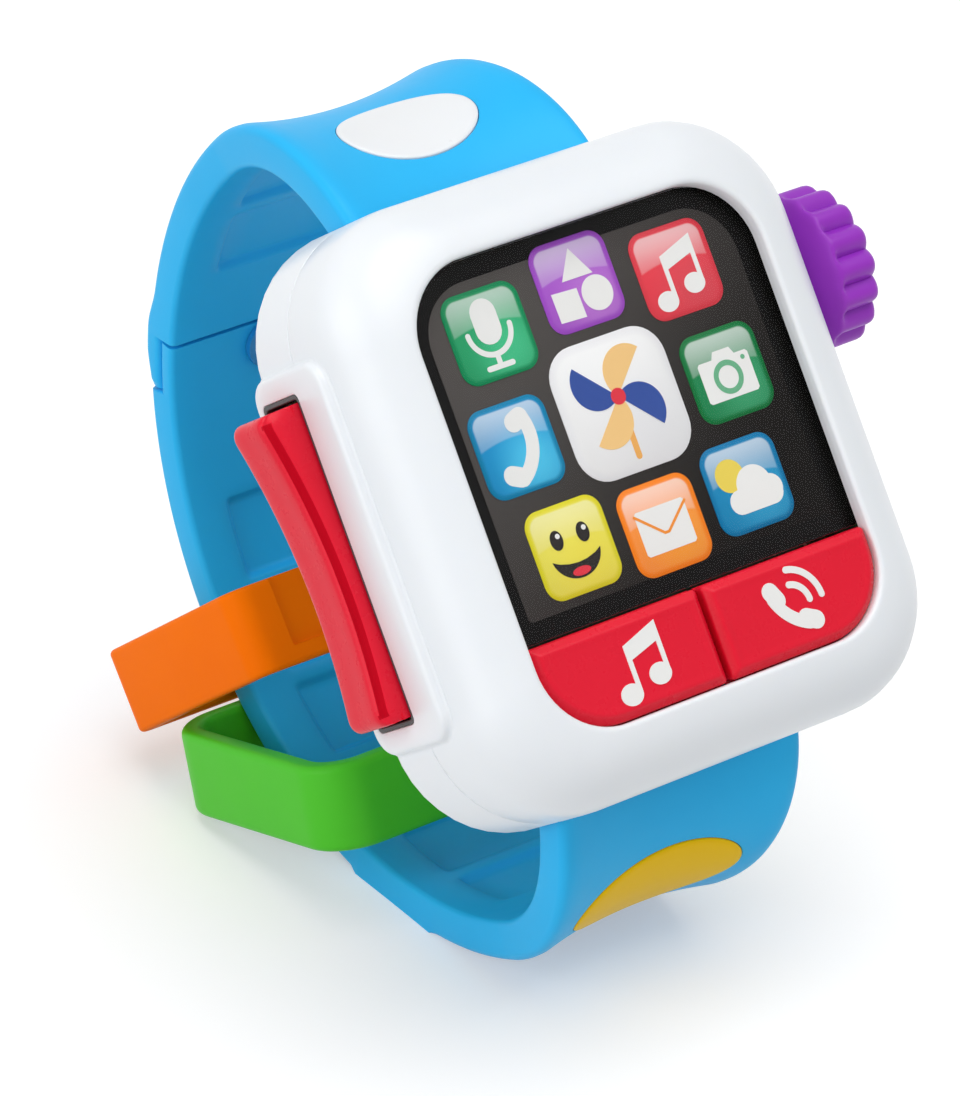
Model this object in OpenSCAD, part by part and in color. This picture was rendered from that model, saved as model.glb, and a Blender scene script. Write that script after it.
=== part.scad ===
// Toy wrist watch for pretend play, in millimetres.
//
// Every piece of the watch is drawn lying on its back in the face frame: X to the right
// of the face, Y up the face and Z out of it, with zero at the back of the screen lens.
// stand() then tips the whole watch up on its strap as it stands on a table, with the
// origin under the middle of the flat foot of the strap, +Z up and the face towards -Y.
// The two loose rings are drawn straight in that standing frame.

/* [Case] */
// Width of the case across the face
case_w = 88; // [87:0.5:96]
// Height of the case along the face
case_h = 99; // [98:0.5:106]
// Radius of the case's corners seen from the front
case_corner = 19.5; // [16:0.5:24]
// How far the front of the case stands in front of the lens seat
case_front = 3; // [2.5:0.1:4]
// Depth of the back of the case behind the lens seat
case_back = 31; // [30:0.5:34]
// Depth of the seam between the front and rear shells
seam_depth = 17; // [15.5:0.1:17.5]
// Wall thickness of both shells
shell_wall = 2.5; // [2:0.1:3]
// Rounding of the front edge of the case
front_round = 12; // [9:0.5:12]
// Rounding of the rear edge of the case
rear_round = 4; // [3:0.5:5]

/* [Screen] */
// Width of the bezel on each side of the window
bezel_w = 11; // [10:0.5:14]
// Width of the bezel above and below the window
bezel_h = 11.5; // [10.5:0.5:14.5]
// Radius of the window's corners
window_corner = 12.5; // [10:0.5:14]
// Thickness of the lens that shows in the window
lens_face = 1.2; // [1:0.1:2]
// Thickness of the lens flange behind the front shell
lens_flange = 1.2; // [1:0.1:1.5]
// Width of the flange that holds the lens and the buttons
flange_w = 1.6; // [1:0.1:2]
// Thickness of the printed icon panel
panel_t = 0.8; // [0.6:0.1:1]
// Side of one icon tile
icon_side = 14.5; // [12:0.5:15]
// Side of the centre tile
centre_side = 22; // [20:0.5:23]
// Thickness of an icon tile on the panel
icon_t = 0.3; // [0.2:0.1:0.4]
// Depth of the light box between the panel and the circuit board
light_box_t = 5.4; // [5:0.1:6]

/* [Buttons] */
// Height of the two buttons up the face
button_h = 16; // [14:0.5:17]
// Gap between the buttons, and between them and the lens
button_split = 0.6; // [0.4:0.1:1]
// How far a button stands in front of the lens seat
button_proud = 2.6; // [2:0.1:3.5]
// Travel of a button
button_travel = 1.5; // [1:0.1:2]
// Width of the bevel round a button
button_bevel = 1.4; // [1:0.1:2]
// Radius of the stem under a button
stem_r = 2.5; // [2:0.1:3]

/* [Rocker] */
// Length of the rocker along the side of the case
rocker_l = 51.5; // [46:0.5:54]
// Width of the rocker from front to back
rocker_w = 11.2; // [10:0.1:11.4]
// How far the ends of the rocker stand out of the side of the case
rocker_proud = 7.4; // [6:0.2:9]
// Depth of the dish in the rocker's outer face
rocker_dish = 2.6; // [1.5:0.1:3.5]
// Angle by which the rocker leans to its lower end at rest
rocker_lean = 2.5; // [1:0.1:3]
// Width of the raised frame in front of the rocker's slot
frame_front = 8.5; // [6:0.5:9]
// How far the rocker's frame stands out of the side of the case
frame_proud = 1.5; // [1:0.1:2]

/* [Knob] */
// Height of the knob's axis up the face
knob_y = 19; // [15:0.5:22]
// Depth of the knob's axis behind the lens seat
knob_depth = 15; // [14:0.5:16]
// Outer radius of the knob over its lobes
knob_r = 13.4; // [12:0.1:14]
// Number of lobes round the knob
knob_lobes = 16; // [12:4:20]
// Length of the lobed rim
knob_rim = 8; // [6:0.5:9]
// Length of the cone between the case and the rim
knob_cone = 1.9; // [1.5:0.1:3]
// Radius of the knob's shaft
shaft_r = 3; // [2.5:0.1:3.5]
// Number of notches in the click wheel
click_notches = 12; // [12:12:24]

/* [Strap] */
// Outer radius of the strap's big loop
loop_r = 71.5; // [68:0.5:76]
// Distance from the loop's centre to the centres of the arcs that run into the case
end_reach = 35.5; // [35:0.1:36]
// Depth of those arcs' outer faces behind the lens seat where they come closest to it
strap_depth = 17.94; // [17:0.02:19]
// Height of the loop's centre above the middle of the case
loop_rise = 1; // [0:0.1:1.2]
// Angle past the top of the loop at which an end arc starts
end_turn = 8; // [7:0.5:9]
// Thickness of the strap at its rims
strap_t = 7; // [6:0.1:7.4]
// Width of the strap where it enters the case
strap_w_case = 48; // [44:0.5:48.5]
// Width of the strap round the back
strap_w_back = 39; // [34:0.5:42]
// Depth of the hollow along the strap's outer face near the case
strap_dip_case = 3; // [2:0.1:3.4]
// Depth of that hollow round the back
strap_dip_back = 1.6; // [1:0.1:2.5]
// Height of material cut away to make the flat foot
foot_cut = 1; // [0.6:0.1:1.4]
// Angle of the face from lying flat when the watch stands
stand_angle = 54; // [50:1:58]
// Length of the pad where the strap's halves overlap
overlap_l = 10; // [9:0.5:12]
// Width of the white badge on the strap
badge_w = 25; // [20:0.5:28]
// Length of the white badge along the strap
badge_l = 18.5; // [16:0.5:22]
// Width of the yellow inset on the strap
inset_w = 33; // [26:0.5:34]
// Length of the yellow inset along the strap
inset_l = 20; // [16:0.5:22]

/* [Rings] */
// Width of a ring from side to side
ring_w = 66; // [62:0.5:70]
// Depth of a ring from front to back
ring_l = 51; // [49:0.5:53]
// Height of a ring's band
ring_h = 15; // [12:0.5:15.5]
// Thickness of a ring's wall
ring_wall = 4; // [3.5:0.1:4.4]
// Corner radius of the green ring
green_corner = 9; // [7:0.5:11]
// Corner radius of the orange ring
orange_corner = 4.6; // [4.5:0.1:6]
// Angle by which the green ring leans
green_tilt = 18; // [17:0.5:19]
// Angle by which the orange ring leans
orange_tilt = 39; // [38:0.5:41]
// Distance of the orange ring's rear edge behind the green ring's
orange_step = 13.6; // [13.5:0.1:15]
// Height of the orange ring's rear edge above the table
orange_lift = 7.6; // [7.4:0.1:9]

/* [Electronics] */
// Thickness of the circuit boards
board_t = 1.6; // [1:0.1:1.6]
// Radius of the speaker
speaker_r = 14; // [12:0.5:14]
// Height of the speaker's centre up the face
speaker_y = 23.5; // [23:0.5:24]
// Radius of a battery cell
cell_r = 5.25; // [5:0.05:5.25]
// Length of a battery cell
cell_l = 44.5; // [42:0.5:45]
// Height of the battery box's centre up the face
battery_y = -12; // [-13:0.5:-11]
// Travel of the power switch's slider
switch_travel = 4; // [3:0.5:5]

/* [Fits] */
// Running clearance on radius between a shaft or pin and its bore
run_fit = 0.05; // [0.03:0.01:0.08]
// Clearance between pieces that sit in each other
seat_gap = 0.2; // [0.15:0.05:0.25]

/* [Hidden] */

$fn = 48;
over = 1;
hull_fn = 40;

// Colours of the pieces.
white = [0.94, 0.95, 0.97];
blue = [0.2, 0.68, 0.93];
red = [0.9, 0.13, 0.22];
purple = [0.57, 0.2, 0.72];
green = [0.37, 0.8, 0.24];
orange = [1, 0.5, 0];
yellow = [0.96, 0.75, 0.05];
dark = [0.16, 0.15, 0.15];
steel = [0.72, 0.73, 0.75];

// Places that several pieces share.
window_w = case_w - 2 * bezel_w;
window_h = case_h - 2 * bezel_h;
inner_round = min(front_round / 2, min(bezel_w, bezel_h) - shell_wall - flange_w);
boss_inset_x = 9;
boss_inset_y = 9.9;
boss_x = case_w / 2 - boss_inset_x;
boss_y = case_h / 2 - boss_inset_y;
boss_r = 3.2;
boss_top = 3;
screw_r = 1.45;
screw_head_r = 2.7;
screw_head_t = 1.8;
screw_recess = 8;
screw_tip = 6;
stack_depth = lens_flange + panel_t;
board_front = stack_depth + light_box_t;
board_back = board_front + board_t;
board_room = 16.5;
board_rim = 2.5;
post_room = 9;
board_post_r = 2.4;
board_post_x = window_w / 2 + flange_w + board_post_r;
board_w = 2 * (board_post_x + board_rim);
board_h = case_h - 2 * board_room;
board_post_y = board_h / 2 - post_room;
board_screw_r = 0.95;
board_head_r = 2;
board_head_t = 1.2;
inner_back = case_back - shell_wall;
lens_low = -window_h / 2 + button_h;
stem_x = window_w / 4;
stem_y = -window_h / 2 + button_h * 0.56;
dome_h = 3;
dome_r = 4.5;
stem_end = board_front - dome_h - seat_gap / 2;

frame_lip = 0.7;
frame_rear = case_back - frame_lip;
slot_rear = inner_back - seat_gap * 1.5;
slot_front = slot_rear - rocker_w - 2 * seat_gap;
frame_top = slot_front - frame_front;
frame_margin = 5.25;
frame_l = rocker_l + 2 * frame_margin;
frame_t = 3.8;
frame_corner = 4;
slot_room = 2.5;
slot_l = rocker_l + slot_room;
pivot_inset = 0.4;
pivot_x = -case_w / 2 + pivot_inset;
pivot_r = 1;
rocker_mid = slot_front + seat_gap + rocker_w / 2;
rocker_inner = 4.6;
rocker_slope = 9;
switch_tip = pivot_inset + rocker_inner + rocker_l / 2 * sin(rocker_lean) + seat_gap / 2;
side_board_inset = 10;
side_board_x = -case_w / 2 + side_board_inset;
side_board_t = 1;
side_board_l = rocker_l * 0.9;

bush_r = 5;
bush_depth = 7;
knob_gap = 0.8;
bush_l = bush_depth + knob_gap - seat_gap;
bush_flange_r = 6.5;
bush_flange_t = 1.6;
bush_inner = case_w / 2 - bush_depth;
wheel_r = 5;
wheel_t = 3;
wheel_x = bush_inner - seat_gap - wheel_t;
knob_x = case_w / 2 + knob_gap;
lobe_r = 2.3;
notch_r = 0.9;
click_t = 0.6;

cell_gap = 1;
contact_room = 7.5;
bay_room = 1.5;
cell_pitch = 2 * cell_r + cell_gap;
bay_w = cell_l + contact_room;
bay_h = cell_pitch + 2 * cell_r + bay_room;
bay_floor = 16;
bay_floor_t = 1.5;
door_t = 1.8;
door_margin_x = 6.5;
door_margin_y = 3;
door_w = bay_w + 2 * door_margin_x;
door_h = bay_h + 2 * door_margin_y;
door_x = 4.5;
door_corner = 3;
door_screw_gap = 6;
door_screw_x = bay_w / 2 + door_screw_gap;
cell_depth = bay_floor + seat_gap + cell_r;

basket_t = 4;

switch_x = 24;
switch_y = 26;
slider_w = 4;
slider_l = 4;
slider_proud = 0.8;
slider_flange_w = 7;
slider_flange_t = 1;
switch_body_w = 9;
switch_body_l = 19;
switch_body_t = 5;

pin_r = 1.5;
pin_turn = 11;
lug_w = 3;
pin_reach = strap_w_case / 2 + 2 * seat_gap + lug_w;
strap_start = 5;
junction = 90 + end_turn;
taper_turn = 32;
taper_end = junction + taper_turn;
overlap_mid = 143;
overlap_turn = overlap_l / loop_r * 180 / PI;
upper_end = overlap_mid + overlap_turn / 2;
lower_end = 360 - overlap_mid + overlap_turn / 2;
lap_gap_turn = 0.5;
bump = 1.2;
lap_t = 4.2;
rivet_r = 2.5;
rivet_head_r = 4.5;
rivet_head_t = 1.1;
badge_turn = 52;
inset_turn = 68;
trim_t = 1.2;
trim_proud = 0.4;
rim_r = 2.6;
pocket_t = 1.2;
pocket_l = 15;
pocket_w_share = 0.62;
pocket_pitch = 1.25 * pocket_l / loop_r * 180 / PI;

end_r = loop_r - end_reach;
loop_y = loop_rise;
loop_z = end_reach * sin(end_turn) - end_r - strap_depth;
foot_drop = loop_r - foot_cut;
foot_l = 2 * sqrt(loop_r * loop_r - foot_drop * foot_drop);

// The green ring lies on the table with the top of its rear wall against the strap, and
// the orange ring lies behind it.
green_hang = 0.158;
green_top = ring_h * cos(green_tilt) + ring_wall * sin(green_tilt);
green_back = sqrt(loop_r * loop_r - (foot_drop - green_top) * (foot_drop - green_top))
    - ring_h * sin(green_tilt) + ring_wall * cos(green_tilt) - green_hang;

// Stands the watch up: the face frame is tipped back on the strap's foot.
module stand() {
    translate([0, -loop_y * cos(stand_angle) + loop_z * sin(stand_angle),
        foot_drop - loop_y * sin(stand_angle) - loop_z * cos(stand_angle)])
        rotate([stand_angle, 0, 0]) children();
}

// A rectangle with round corners, centred.
module round_rect(w, h, r) {
    square([w - 2 * r, h], center = true);
    square([w, h - 2 * r], center = true);
    for (x = [-1, 1], y = [-1, 1])
        translate([x * (w / 2 - r), y * (h / 2 - r)]) circle(r);
}

// A plate with round corners that runs from depth a to depth b behind the lens seat.
module plate(w, h, r, a, b) {
    translate([0, 0, -b]) linear_extrude(b - a) round_rect(w, h, r);
}

// A straight bar along the side of the case: length along Y, from depth a to depth b.
module side_bar(x0, x1, l, a, b) {
    translate([x0, -l / 2, -b]) cube([x1 - x0, l, b - a]);
}

// A cylinder along X.
module along_x(r, x0, x1) {
    translate([x0, 0, 0]) rotate([0, 90, 0]) cylinder(r = r, h = x1 - x0);
}

// A cylinder along Z from depth b up to depth a.
module along_z(r, a, b) {
    translate([0, 0, -b]) cylinder(r = r, h = b - a);
}

// The outline of one rounded corner of the case, turned about Z by the caller.
function corner_outline(r, low, high, low_round, high_round) = concat(
    [[0, low]],
    [for (i = [0:6]) let (a = -90 + i * 15)
        [r - low_round + low_round * cos(a), low + low_round + low_round * sin(a)]],
    [for (i = [0:6]) let (a = i * 15)
        [r - high_round + high_round * cos(a), high - high_round + high_round * sin(a)]],
    [[0, high]]);

// A pillow block: four rounded corners drawn together.
module pillow(w, h, r, low, high, low_round, high_round) {
    hull() for (x = [-1, 1], y = [-1, 1])
        translate([x * (w / 2 - r), y * (h / 2 - r), 0])
            rotate_extrude($fn = hull_fn)
                polygon(corner_outline(r, low, high, low_round, high_round));
}

module at_bosses() {
    for (x = [-1, 1], y = [-1, 1]) translate([x * boss_x, y * boss_y, 0]) children();
}

module at_board_posts() {
    for (x = [-1, 1], y = [-1, 1])
        translate([x * board_post_x, y * board_post_y, 0]) children();
}

// Everything that both shells leave room for on the sides of the case.
module side_cuts() {
    rocker_frame_block(seat_gap);
    side_bar(-case_w / 2, side_board_x, slot_l, slot_front, slot_rear);
    translate([0, knob_y, -knob_depth])
        along_x(bush_r + run_fit, case_w / 2 - shell_wall - over, case_w / 2 + over);
}

module front_shell() {
    color(white) stand() difference() {
        union() {
            difference() {
                pillow(case_w, case_h, case_corner, -seam_depth, case_front,
                    seat_gap, front_round);
                pillow(case_w - 2 * shell_wall, case_h - 2 * shell_wall,
                    case_corner - shell_wall, -seam_depth - over, 0,
                    seat_gap, inner_round);
            }
            at_bosses() along_z(boss_r, boss_top, seam_depth);
            at_board_posts() along_z(board_post_r, -seat_gap, board_front);
        }
        plate(window_w, window_h, window_corner, -case_front - over, over);
        at_bosses() along_z(screw_r + run_fit, screw_tip, seam_depth + over);
        at_board_posts() along_z(board_screw_r + run_fit, over, board_front + over);
        side_cuts();
    }
}

// The battery box, open at the back of the case.
module battery_bay(grow, low, high) {
    translate([0, battery_y, 0])
        plate(bay_w + 2 * grow, bay_h + 2 * grow, over + grow, low, high);
}

module grille() {
    for (ring = [0:2]) for (i = [0:max(0, ring * 6 - 1)])
        rotate([0, 0, i * 60 / max(1, ring)]) translate([ring * speaker_r / 3.6, 0, 0])
            along_z(speaker_r / 11, inner_back - over, case_back + over);
}

// The slot that a strap half passes through on its way into the case.
module strap_slot() {
    along_turn(strap_exit()) translate([0, 0, end_r - strap_t / 2])
            cube([strap_w_case + 4 * seat_gap, 2 * shell_wall + rear_round * 2,
                strap_t + 6 * seat_gap], center = true);
}

module rear_shell() {
    color(white) stand() difference() {
        union() {
            difference() {
                pillow(case_w, case_h, case_corner, -case_back, -seam_depth,
                    rear_round, seat_gap);
                pillow(case_w - 2 * shell_wall, case_h - 2 * shell_wall,
                    case_corner - shell_wall, -inner_back, -seam_depth + over,
                    rear_round - shell_wall / 2, seat_gap);
            }
            at_bosses() along_z(boss_r, seam_depth, inner_back + seat_gap);
            battery_bay(bay_floor_t, bay_floor - bay_floor_t, inner_back + seat_gap);
            translate([door_screw_x, battery_y, 0])
                along_z(boss_r, inner_back - screw_recess, inner_back + seat_gap);
            for (s = [0, 1]) flip(s) strap_lugs();
            for (s = [-1, 1])
                translate([side_board_x + side_board_t + seat_gap, s * side_board_l / 3, 0])
                    side_bar(0, shell_wall, shell_wall, slot_front, inner_back + seat_gap);
            for (s = [-1, 1])
                translate([switch_x, switch_y + s * (switch_body_l - shell_wall) / 2, 0])
                    translate([0, 0, -inner_back - seat_gap])
                        linear_extrude(slider_flange_t + 3 * seat_gap)
                            square([switch_body_w, shell_wall], center = true);
        }
        battery_bay(0, bay_floor, case_back + over);
        translate([door_x, battery_y, 0])
            plate(door_w + 2 * seat_gap, door_h + 2 * seat_gap, door_corner,
                case_back - door_t - seat_gap, case_back + over);
        translate([door_screw_x, battery_y, 0])
            along_z(screw_r + run_fit, inner_back - screw_recess - over, case_back);
        at_bosses() {
            along_z(screw_r + run_fit, seam_depth - over, case_back);
            along_z(screw_head_r + seat_gap, case_back - screw_recess, case_back + over);
        }
        translate([0, speaker_y, 0]) grille();
        translate([switch_x, switch_y, 0])
            plate(slider_w + 2 * seat_gap, slider_l + switch_travel + 2 * seat_gap,
                slider_w / 4, inner_back - over, case_back + over);
        for (s = [0, 1]) flip(s) {
            strap_slot();
            strap_pin_bore();
        }
        side_cuts();
    }
}

// The lens and the icon panel share this outline.
module screen_plate(grow, a, b) {
    intersection() {
        plate(window_w + 2 * grow, window_h + 2 * grow, window_corner + grow, a, b);
        translate([-case_w / 2, lens_low + button_split, -b])
            cube([case_w, case_h, b - a]);
    }
}

module screen_lens() {
    color([0.8, 0.85, 0.88, 0.35]) stand() {
        screen_plate(-seat_gap, -lens_face, 0);
        screen_plate(flange_w, 0, lens_flange);
    }
}

// The icons sit on a ring of eight round a larger one, in shares of the icon's side.
icon_shares = [[-1.246, 1.77], [0, 1.985], [1.246, 1.77], [-1.412, 0.531],
    [1.412, 0.531], [-1.169, -0.68], [0, -0.79], [1.169, -0.68]];
centre_share = 0.6;

module icon_panel() {
    color(dark) stand() {
        screen_plate(flange_w, lens_flange + icon_t, stack_depth);
        for (p = icon_shares) translate([p[0] * icon_side, p[1] * icon_side, 0])
            plate(icon_side, icon_side, icon_side / 5, lens_flange, lens_flange + icon_t);
        translate([0, centre_share * icon_side, 0])
            plate(centre_side, centre_side, centre_side / 4, lens_flange,
                lens_flange + icon_t);
    }
}

// One half of the button field: side is -1 for the left button, 1 for the right one.
module button_field(side, inset, grow) {
    intersection() {
        round_rect(window_w + 2 * grow - 2 * inset, window_h + 2 * grow - 2 * inset,
            window_corner + grow - inset);
        translate([side * (button_split / 2 + inset + window_w / 2),
            -window_h / 2 - grow + (button_h + grow) / 2])
            square([window_w, button_h + grow - 2 * inset], center = true);
    }
}

module button(side) {
    low = -button_proud + button_bevel;
    color(red) stand() {
        translate([0, 0, 0]) linear_extrude(-low) button_field(side, seat_gap, 0);
        translate([0, 0, -low])
            linear_extrude(button_bevel / 2) button_field(side, button_bevel / 2, 0);
        translate([0, 0, -low + button_bevel / 2])
            linear_extrude(button_bevel / 2) button_field(side, button_bevel, 0);
        translate([0, 0, -lens_flange])
            linear_extrude(lens_flange) button_field(side, seat_gap, flange_w);
        translate([side * stem_x, stem_y, 0]) along_z(stem_r, lens_flange, stem_end);
    }
}

module music_button() { button(-1); }

module call_button() { button(1); }

// A silicone return dome that stands on the circuit board under a button.
module dome(side) {
    skin = dome_h / 5;
    color([0.85, 0.85, 0.85]) stand()
        translate([side * stem_x, stem_y, -board_front]) rotate_extrude()
            polygon([[dome_r - skin * 2, 0], [dome_r, 0], [dome_r, skin],
                [dome_r - skin, skin * 1.2], [stem_r, dome_h], [0, dome_h],
                [0, dome_h - skin], [stem_r - skin, dome_h - skin],
                [dome_r - skin * 2, skin / 2]]);
}

module music_dome() { dome(-1); }

module call_dome() { dome(1); }

module light_box() {
    wall = shell_wall * 0.6;
    color([0.97, 0.97, 0.97]) stand() difference() {
        screen_plate(0, stack_depth, board_front);
        difference() {
            screen_plate(-wall, stack_depth - over, board_front + over);
            for (x = [-1, 1]) translate([x * icon_side * 0.7 - wall / 2, -case_h / 2, -case_back])
                cube([wall, case_h, case_back]);
            for (y = [0, 1.2]) translate([-case_w / 2, y * icon_side, -case_back])
                cube([case_w, wall, case_back]);
            translate([-case_w / 2, lens_low + button_split, -case_back])
                cube([case_w, wall, case_back]);
        }
    }
}

module circuit_board() {
    color([0.1, 0.45, 0.25]) stand() difference() {
        plate(board_w, board_h, over * 2, board_front, board_back);
        at_board_posts() along_z(board_screw_r + run_fit * 2, board_front - over,
            board_back + over);
    }
}

module sound_chip() {
    chip_r = 5;
    chip_t = 1.5;
    color("black") stand() translate([-icon_side, -icon_side / 2, 0])
        along_z(chip_r, board_back, board_back + chip_t);
}

module leds() {
    led_r = 1.5;
    led_h = 2.4;
    color([0.95, 0.95, 0.8]) stand() for (x = [-1.4, 0, 1.4], y = [0.6, 1.9])
        translate([x * icon_side, y * icon_side, -board_front])
            cylinder(r = led_r, h = led_h);
}

module board_screws() {
    color(steel) stand() at_board_posts() {
        along_z(board_screw_r, board_front / 3, board_back);
        along_z(board_head_r, board_back, board_back + board_head_t);
    }
}

// The block of the rocker's frame; grow is added all round for the cut in the shells.
module rocker_frame_block(grow) {
    mid = (frame_top + frame_rear) / 2;
    translate([-case_w / 2 - frame_proud, 0, -mid]) rotate([0, 90, 0])
        linear_extrude(frame_t + grow)
            round_rect(frame_rear - frame_top + 2 * grow, frame_l + 2 * grow,
                frame_corner);
}

module rocker_frame() {
    color(white) stand() difference() {
        rocker_frame_block(0);
        translate([-case_w / 2 - frame_proud - over, 0, -(slot_front + slot_rear) / 2])
            rotate([0, 90, 0]) linear_extrude(frame_t + 2 * over)
                round_rect(slot_rear - slot_front, slot_l, over);
        translate([pivot_x, 0, 0])
            along_z(pivot_r + run_fit / 2, frame_top + frame_front / 2, frame_rear + over);
    }
}

module rocker() {
    radius = (rocker_l * rocker_l / 4 + rocker_dish * rocker_dish) / (2 * rocker_dish);
    outer = pivot_x - (pivot_x + case_w / 2) - rocker_proud;
    color(red) stand() translate([pivot_x, 0, -rocker_mid]) rotate([0, 0, rocker_lean])
        difference() {
            translate([outer - pivot_x - over, -rocker_l / 2, -rocker_w / 2])
                cube([rocker_inner - outer + pivot_x + over, rocker_l, rocker_w]);
            translate([outer - pivot_x + rocker_dish, 0, 0]) rotate([0, rocker_slope, 0])
                translate([-radius, 0, -rocker_w])
                    cylinder(r = radius, h = 2 * rocker_w, $fn = 200);
            translate([0, 0, -rocker_w]) cylinder(r = pivot_r + run_fit, h = 2 * rocker_w);
        }
}

module rocker_pin() {
    color(steel) stand() translate([pivot_x, 0, 0])
        along_z(pivot_r, frame_top + frame_front * 0.6, frame_rear - seat_gap);
}

module side_board() {
    color([0.1, 0.45, 0.25]) stand()
        side_bar(side_board_x, side_board_x + side_board_t, side_board_l,
            slot_front, inner_back - seat_gap / 2);
}

module side_switches() {
    body_l = 6;
    body_d = 6;
    color("dimgray") stand() for (s = [-1, 1])
        translate([0, s * (side_board_l / 2 - body_l / 2), -rocker_mid]) {
            translate([side_board_x - body_l / 2, -body_l / 2, -body_d / 2])
                cube([body_l / 2, body_l, body_d]);
            along_x(pivot_r * 1.4, -case_w / 2 + switch_tip, side_board_x - body_l / 2);
        }
}

// Turns what is drawn along Z at the origin to the knob's axis, pointing out of the case.
module on_knob_axis(x) {
    translate([x, knob_y, -knob_depth]) rotate([0, 90, 0]) children();
}

module knob() {
    base_r = knob_r - lobe_r;
    color(purple) stand() on_knob_axis(knob_x) difference() {
        union() {
            cylinder(r1 = knob_r * 0.66, r2 = knob_r - lobe_r / 2, h = knob_cone, $fn = 64);
            translate([0, 0, knob_cone]) linear_extrude(knob_rim) {
                circle(knob_r - lobe_r / 2, $fn = 64);
                for (i = [0:knob_lobes - 1]) rotate(i * 360 / knob_lobes)
                    translate([base_r, 0]) circle(lobe_r, $fn = 24);
            }
            translate([0, 0, knob_cone + knob_rim])
                cylinder(r1 = knob_r - lobe_r / 2, r2 = knob_r - lobe_r, h = lobe_r / 4, $fn = 64);
        }
        translate([0, 0, -over])
            cylinder(r = shaft_r + run_fit / 2, h = knob_cone + knob_rim * 0.7 + over);
    }
}

module knob_shaft() {
    color(steel) stand() on_knob_axis(wheel_x - seat_gap)
        cylinder(r = shaft_r, h = knob_x - wheel_x + seat_gap + knob_cone + knob_rim * 0.6);
}

module knob_bush() {
    color(white) stand() on_knob_axis(bush_inner) difference() {
        union() {
            cylinder(r = bush_r, h = bush_l);
            translate([0, 0, case_w / 2 - shell_wall - bush_inner - bush_flange_t - seat_gap])
                cylinder(r = bush_flange_r, h = bush_flange_t);
        }
        translate([0, 0, -over]) cylinder(r = shaft_r + run_fit, h = bush_l + 2 * over);
    }
}

module click_wheel() {
    color([0.3, 0.3, 0.32]) stand() on_knob_axis(wheel_x) difference() {
        cylinder(r = wheel_r, h = wheel_t);
        translate([0, 0, -over]) cylinder(r = shaft_r + run_fit / 2, h = wheel_t + 2 * over);
        for (i = [0:click_notches - 1]) rotate([0, 0, i * 360 / click_notches])
            translate([wheel_r, 0, -over]) cylinder(r = notch_r, h = wheel_t + 2 * over);
    }
}

// A leaf spring that stands on the rear shell and rests its tip in a notch of the wheel.
module click_spring() {
    leaf_y = knob_y - wheel_r - notch_r * 0.6;
    color(steel) stand() {
        translate([wheel_x, leaf_y - click_t, -inner_back + seat_gap / 2])
            cube([wheel_t, click_t, inner_back - knob_depth + notch_r]);
        translate([wheel_x, leaf_y - click_t * 4, -inner_back + seat_gap / 2])
            cube([wheel_t, click_t * 4, click_t]);
        translate([0, leaf_y, -knob_depth]) along_x(notch_r * 0.6, wheel_x, wheel_x + wheel_t);
    }
}

module at_speaker() {
    translate([0, speaker_y, -inner_back + seat_gap / 2]) children();
}

module speaker_basket() {
    lip = speaker_r / 8;
    color(steel) stand() at_speaker() rotate_extrude()
        polygon([[speaker_r - lip, 0], [speaker_r, 0], [speaker_r, lip / 2],
            [speaker_r / 2, basket_t], [speaker_r / 4, basket_t],
            [speaker_r / 4, basket_t - lip / 2], [speaker_r / 2 - lip / 4, basket_t - lip / 2],
            [speaker_r - lip, lip / 3]]);
}

module speaker_cone() {
    lip = speaker_r / 8;
    skin = seat_gap * 2;
    color([0.15, 0.15, 0.15]) stand() at_speaker() rotate_extrude()
        polygon([[speaker_r - lip - seat_gap, 0], [speaker_r - lip - seat_gap, skin / 2],
            [speaker_r / 4, basket_t / 2], [0, basket_t / 2], [0, basket_t / 2 - skin],
            [speaker_r / 4, basket_t / 2 - skin]]);
}

module speaker_magnet() {
    magnet_h = 4;
    color([0.35, 0.35, 0.36]) stand() at_speaker()
        translate([0, 0, basket_t]) cylinder(r = speaker_r / 1.8, h = magnet_h);
}

module power_slider() {
    y = switch_y - switch_travel / 2;
    color(dark) stand() translate([switch_x, y, 0]) {
        plate(slider_w, slider_l, slider_w / 8, inner_back, case_back + slider_proud);
        plate(slider_flange_w, slider_l * 1.6, slider_w / 8,
            inner_back - slider_flange_t - seat_gap, inner_back - seat_gap);
        translate([0, 0, -inner_back]) linear_extrude(seat_gap)
            square([slider_w, slider_l], center = true);
        translate([0, 0, -inner_back + slider_flange_t + seat_gap])
            linear_extrude(slider_flange_t * 2) square([slider_w / 2, slider_l / 2], center = true);
    }
}

module switch_body() {
    base = inner_back - slider_flange_t - 3 * seat_gap;
    groove_d = slider_flange_t * 2 + seat_gap;
    color(steel) stand() translate([switch_x, switch_y, 0]) difference() {
        plate(switch_body_w, switch_body_l, slider_w / 8, base - switch_body_t, base);
        translate([0, 0, -base - over]) linear_extrude(groove_d + over)
            square([slider_w / 2 + 2 * seat_gap, slider_l / 2 + switch_travel + 2 * seat_gap],
                center = true);
    }
}

module batteries() {
    cap_r = cell_r / 3;
    cap_l = 0.8;
    color([0.25, 0.5, 0.3]) stand() for (s = [-1, 1])
        translate([0, battery_y + s * cell_pitch / 2, -cell_depth]) rotate([0, 0, 90 - s * 90]) {
            along_x(cell_r, -cell_l / 2, cell_l / 2 - cap_l);
            along_x(cap_r, cell_l / 2 - cap_l, cell_l / 2);
        }
}

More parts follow.
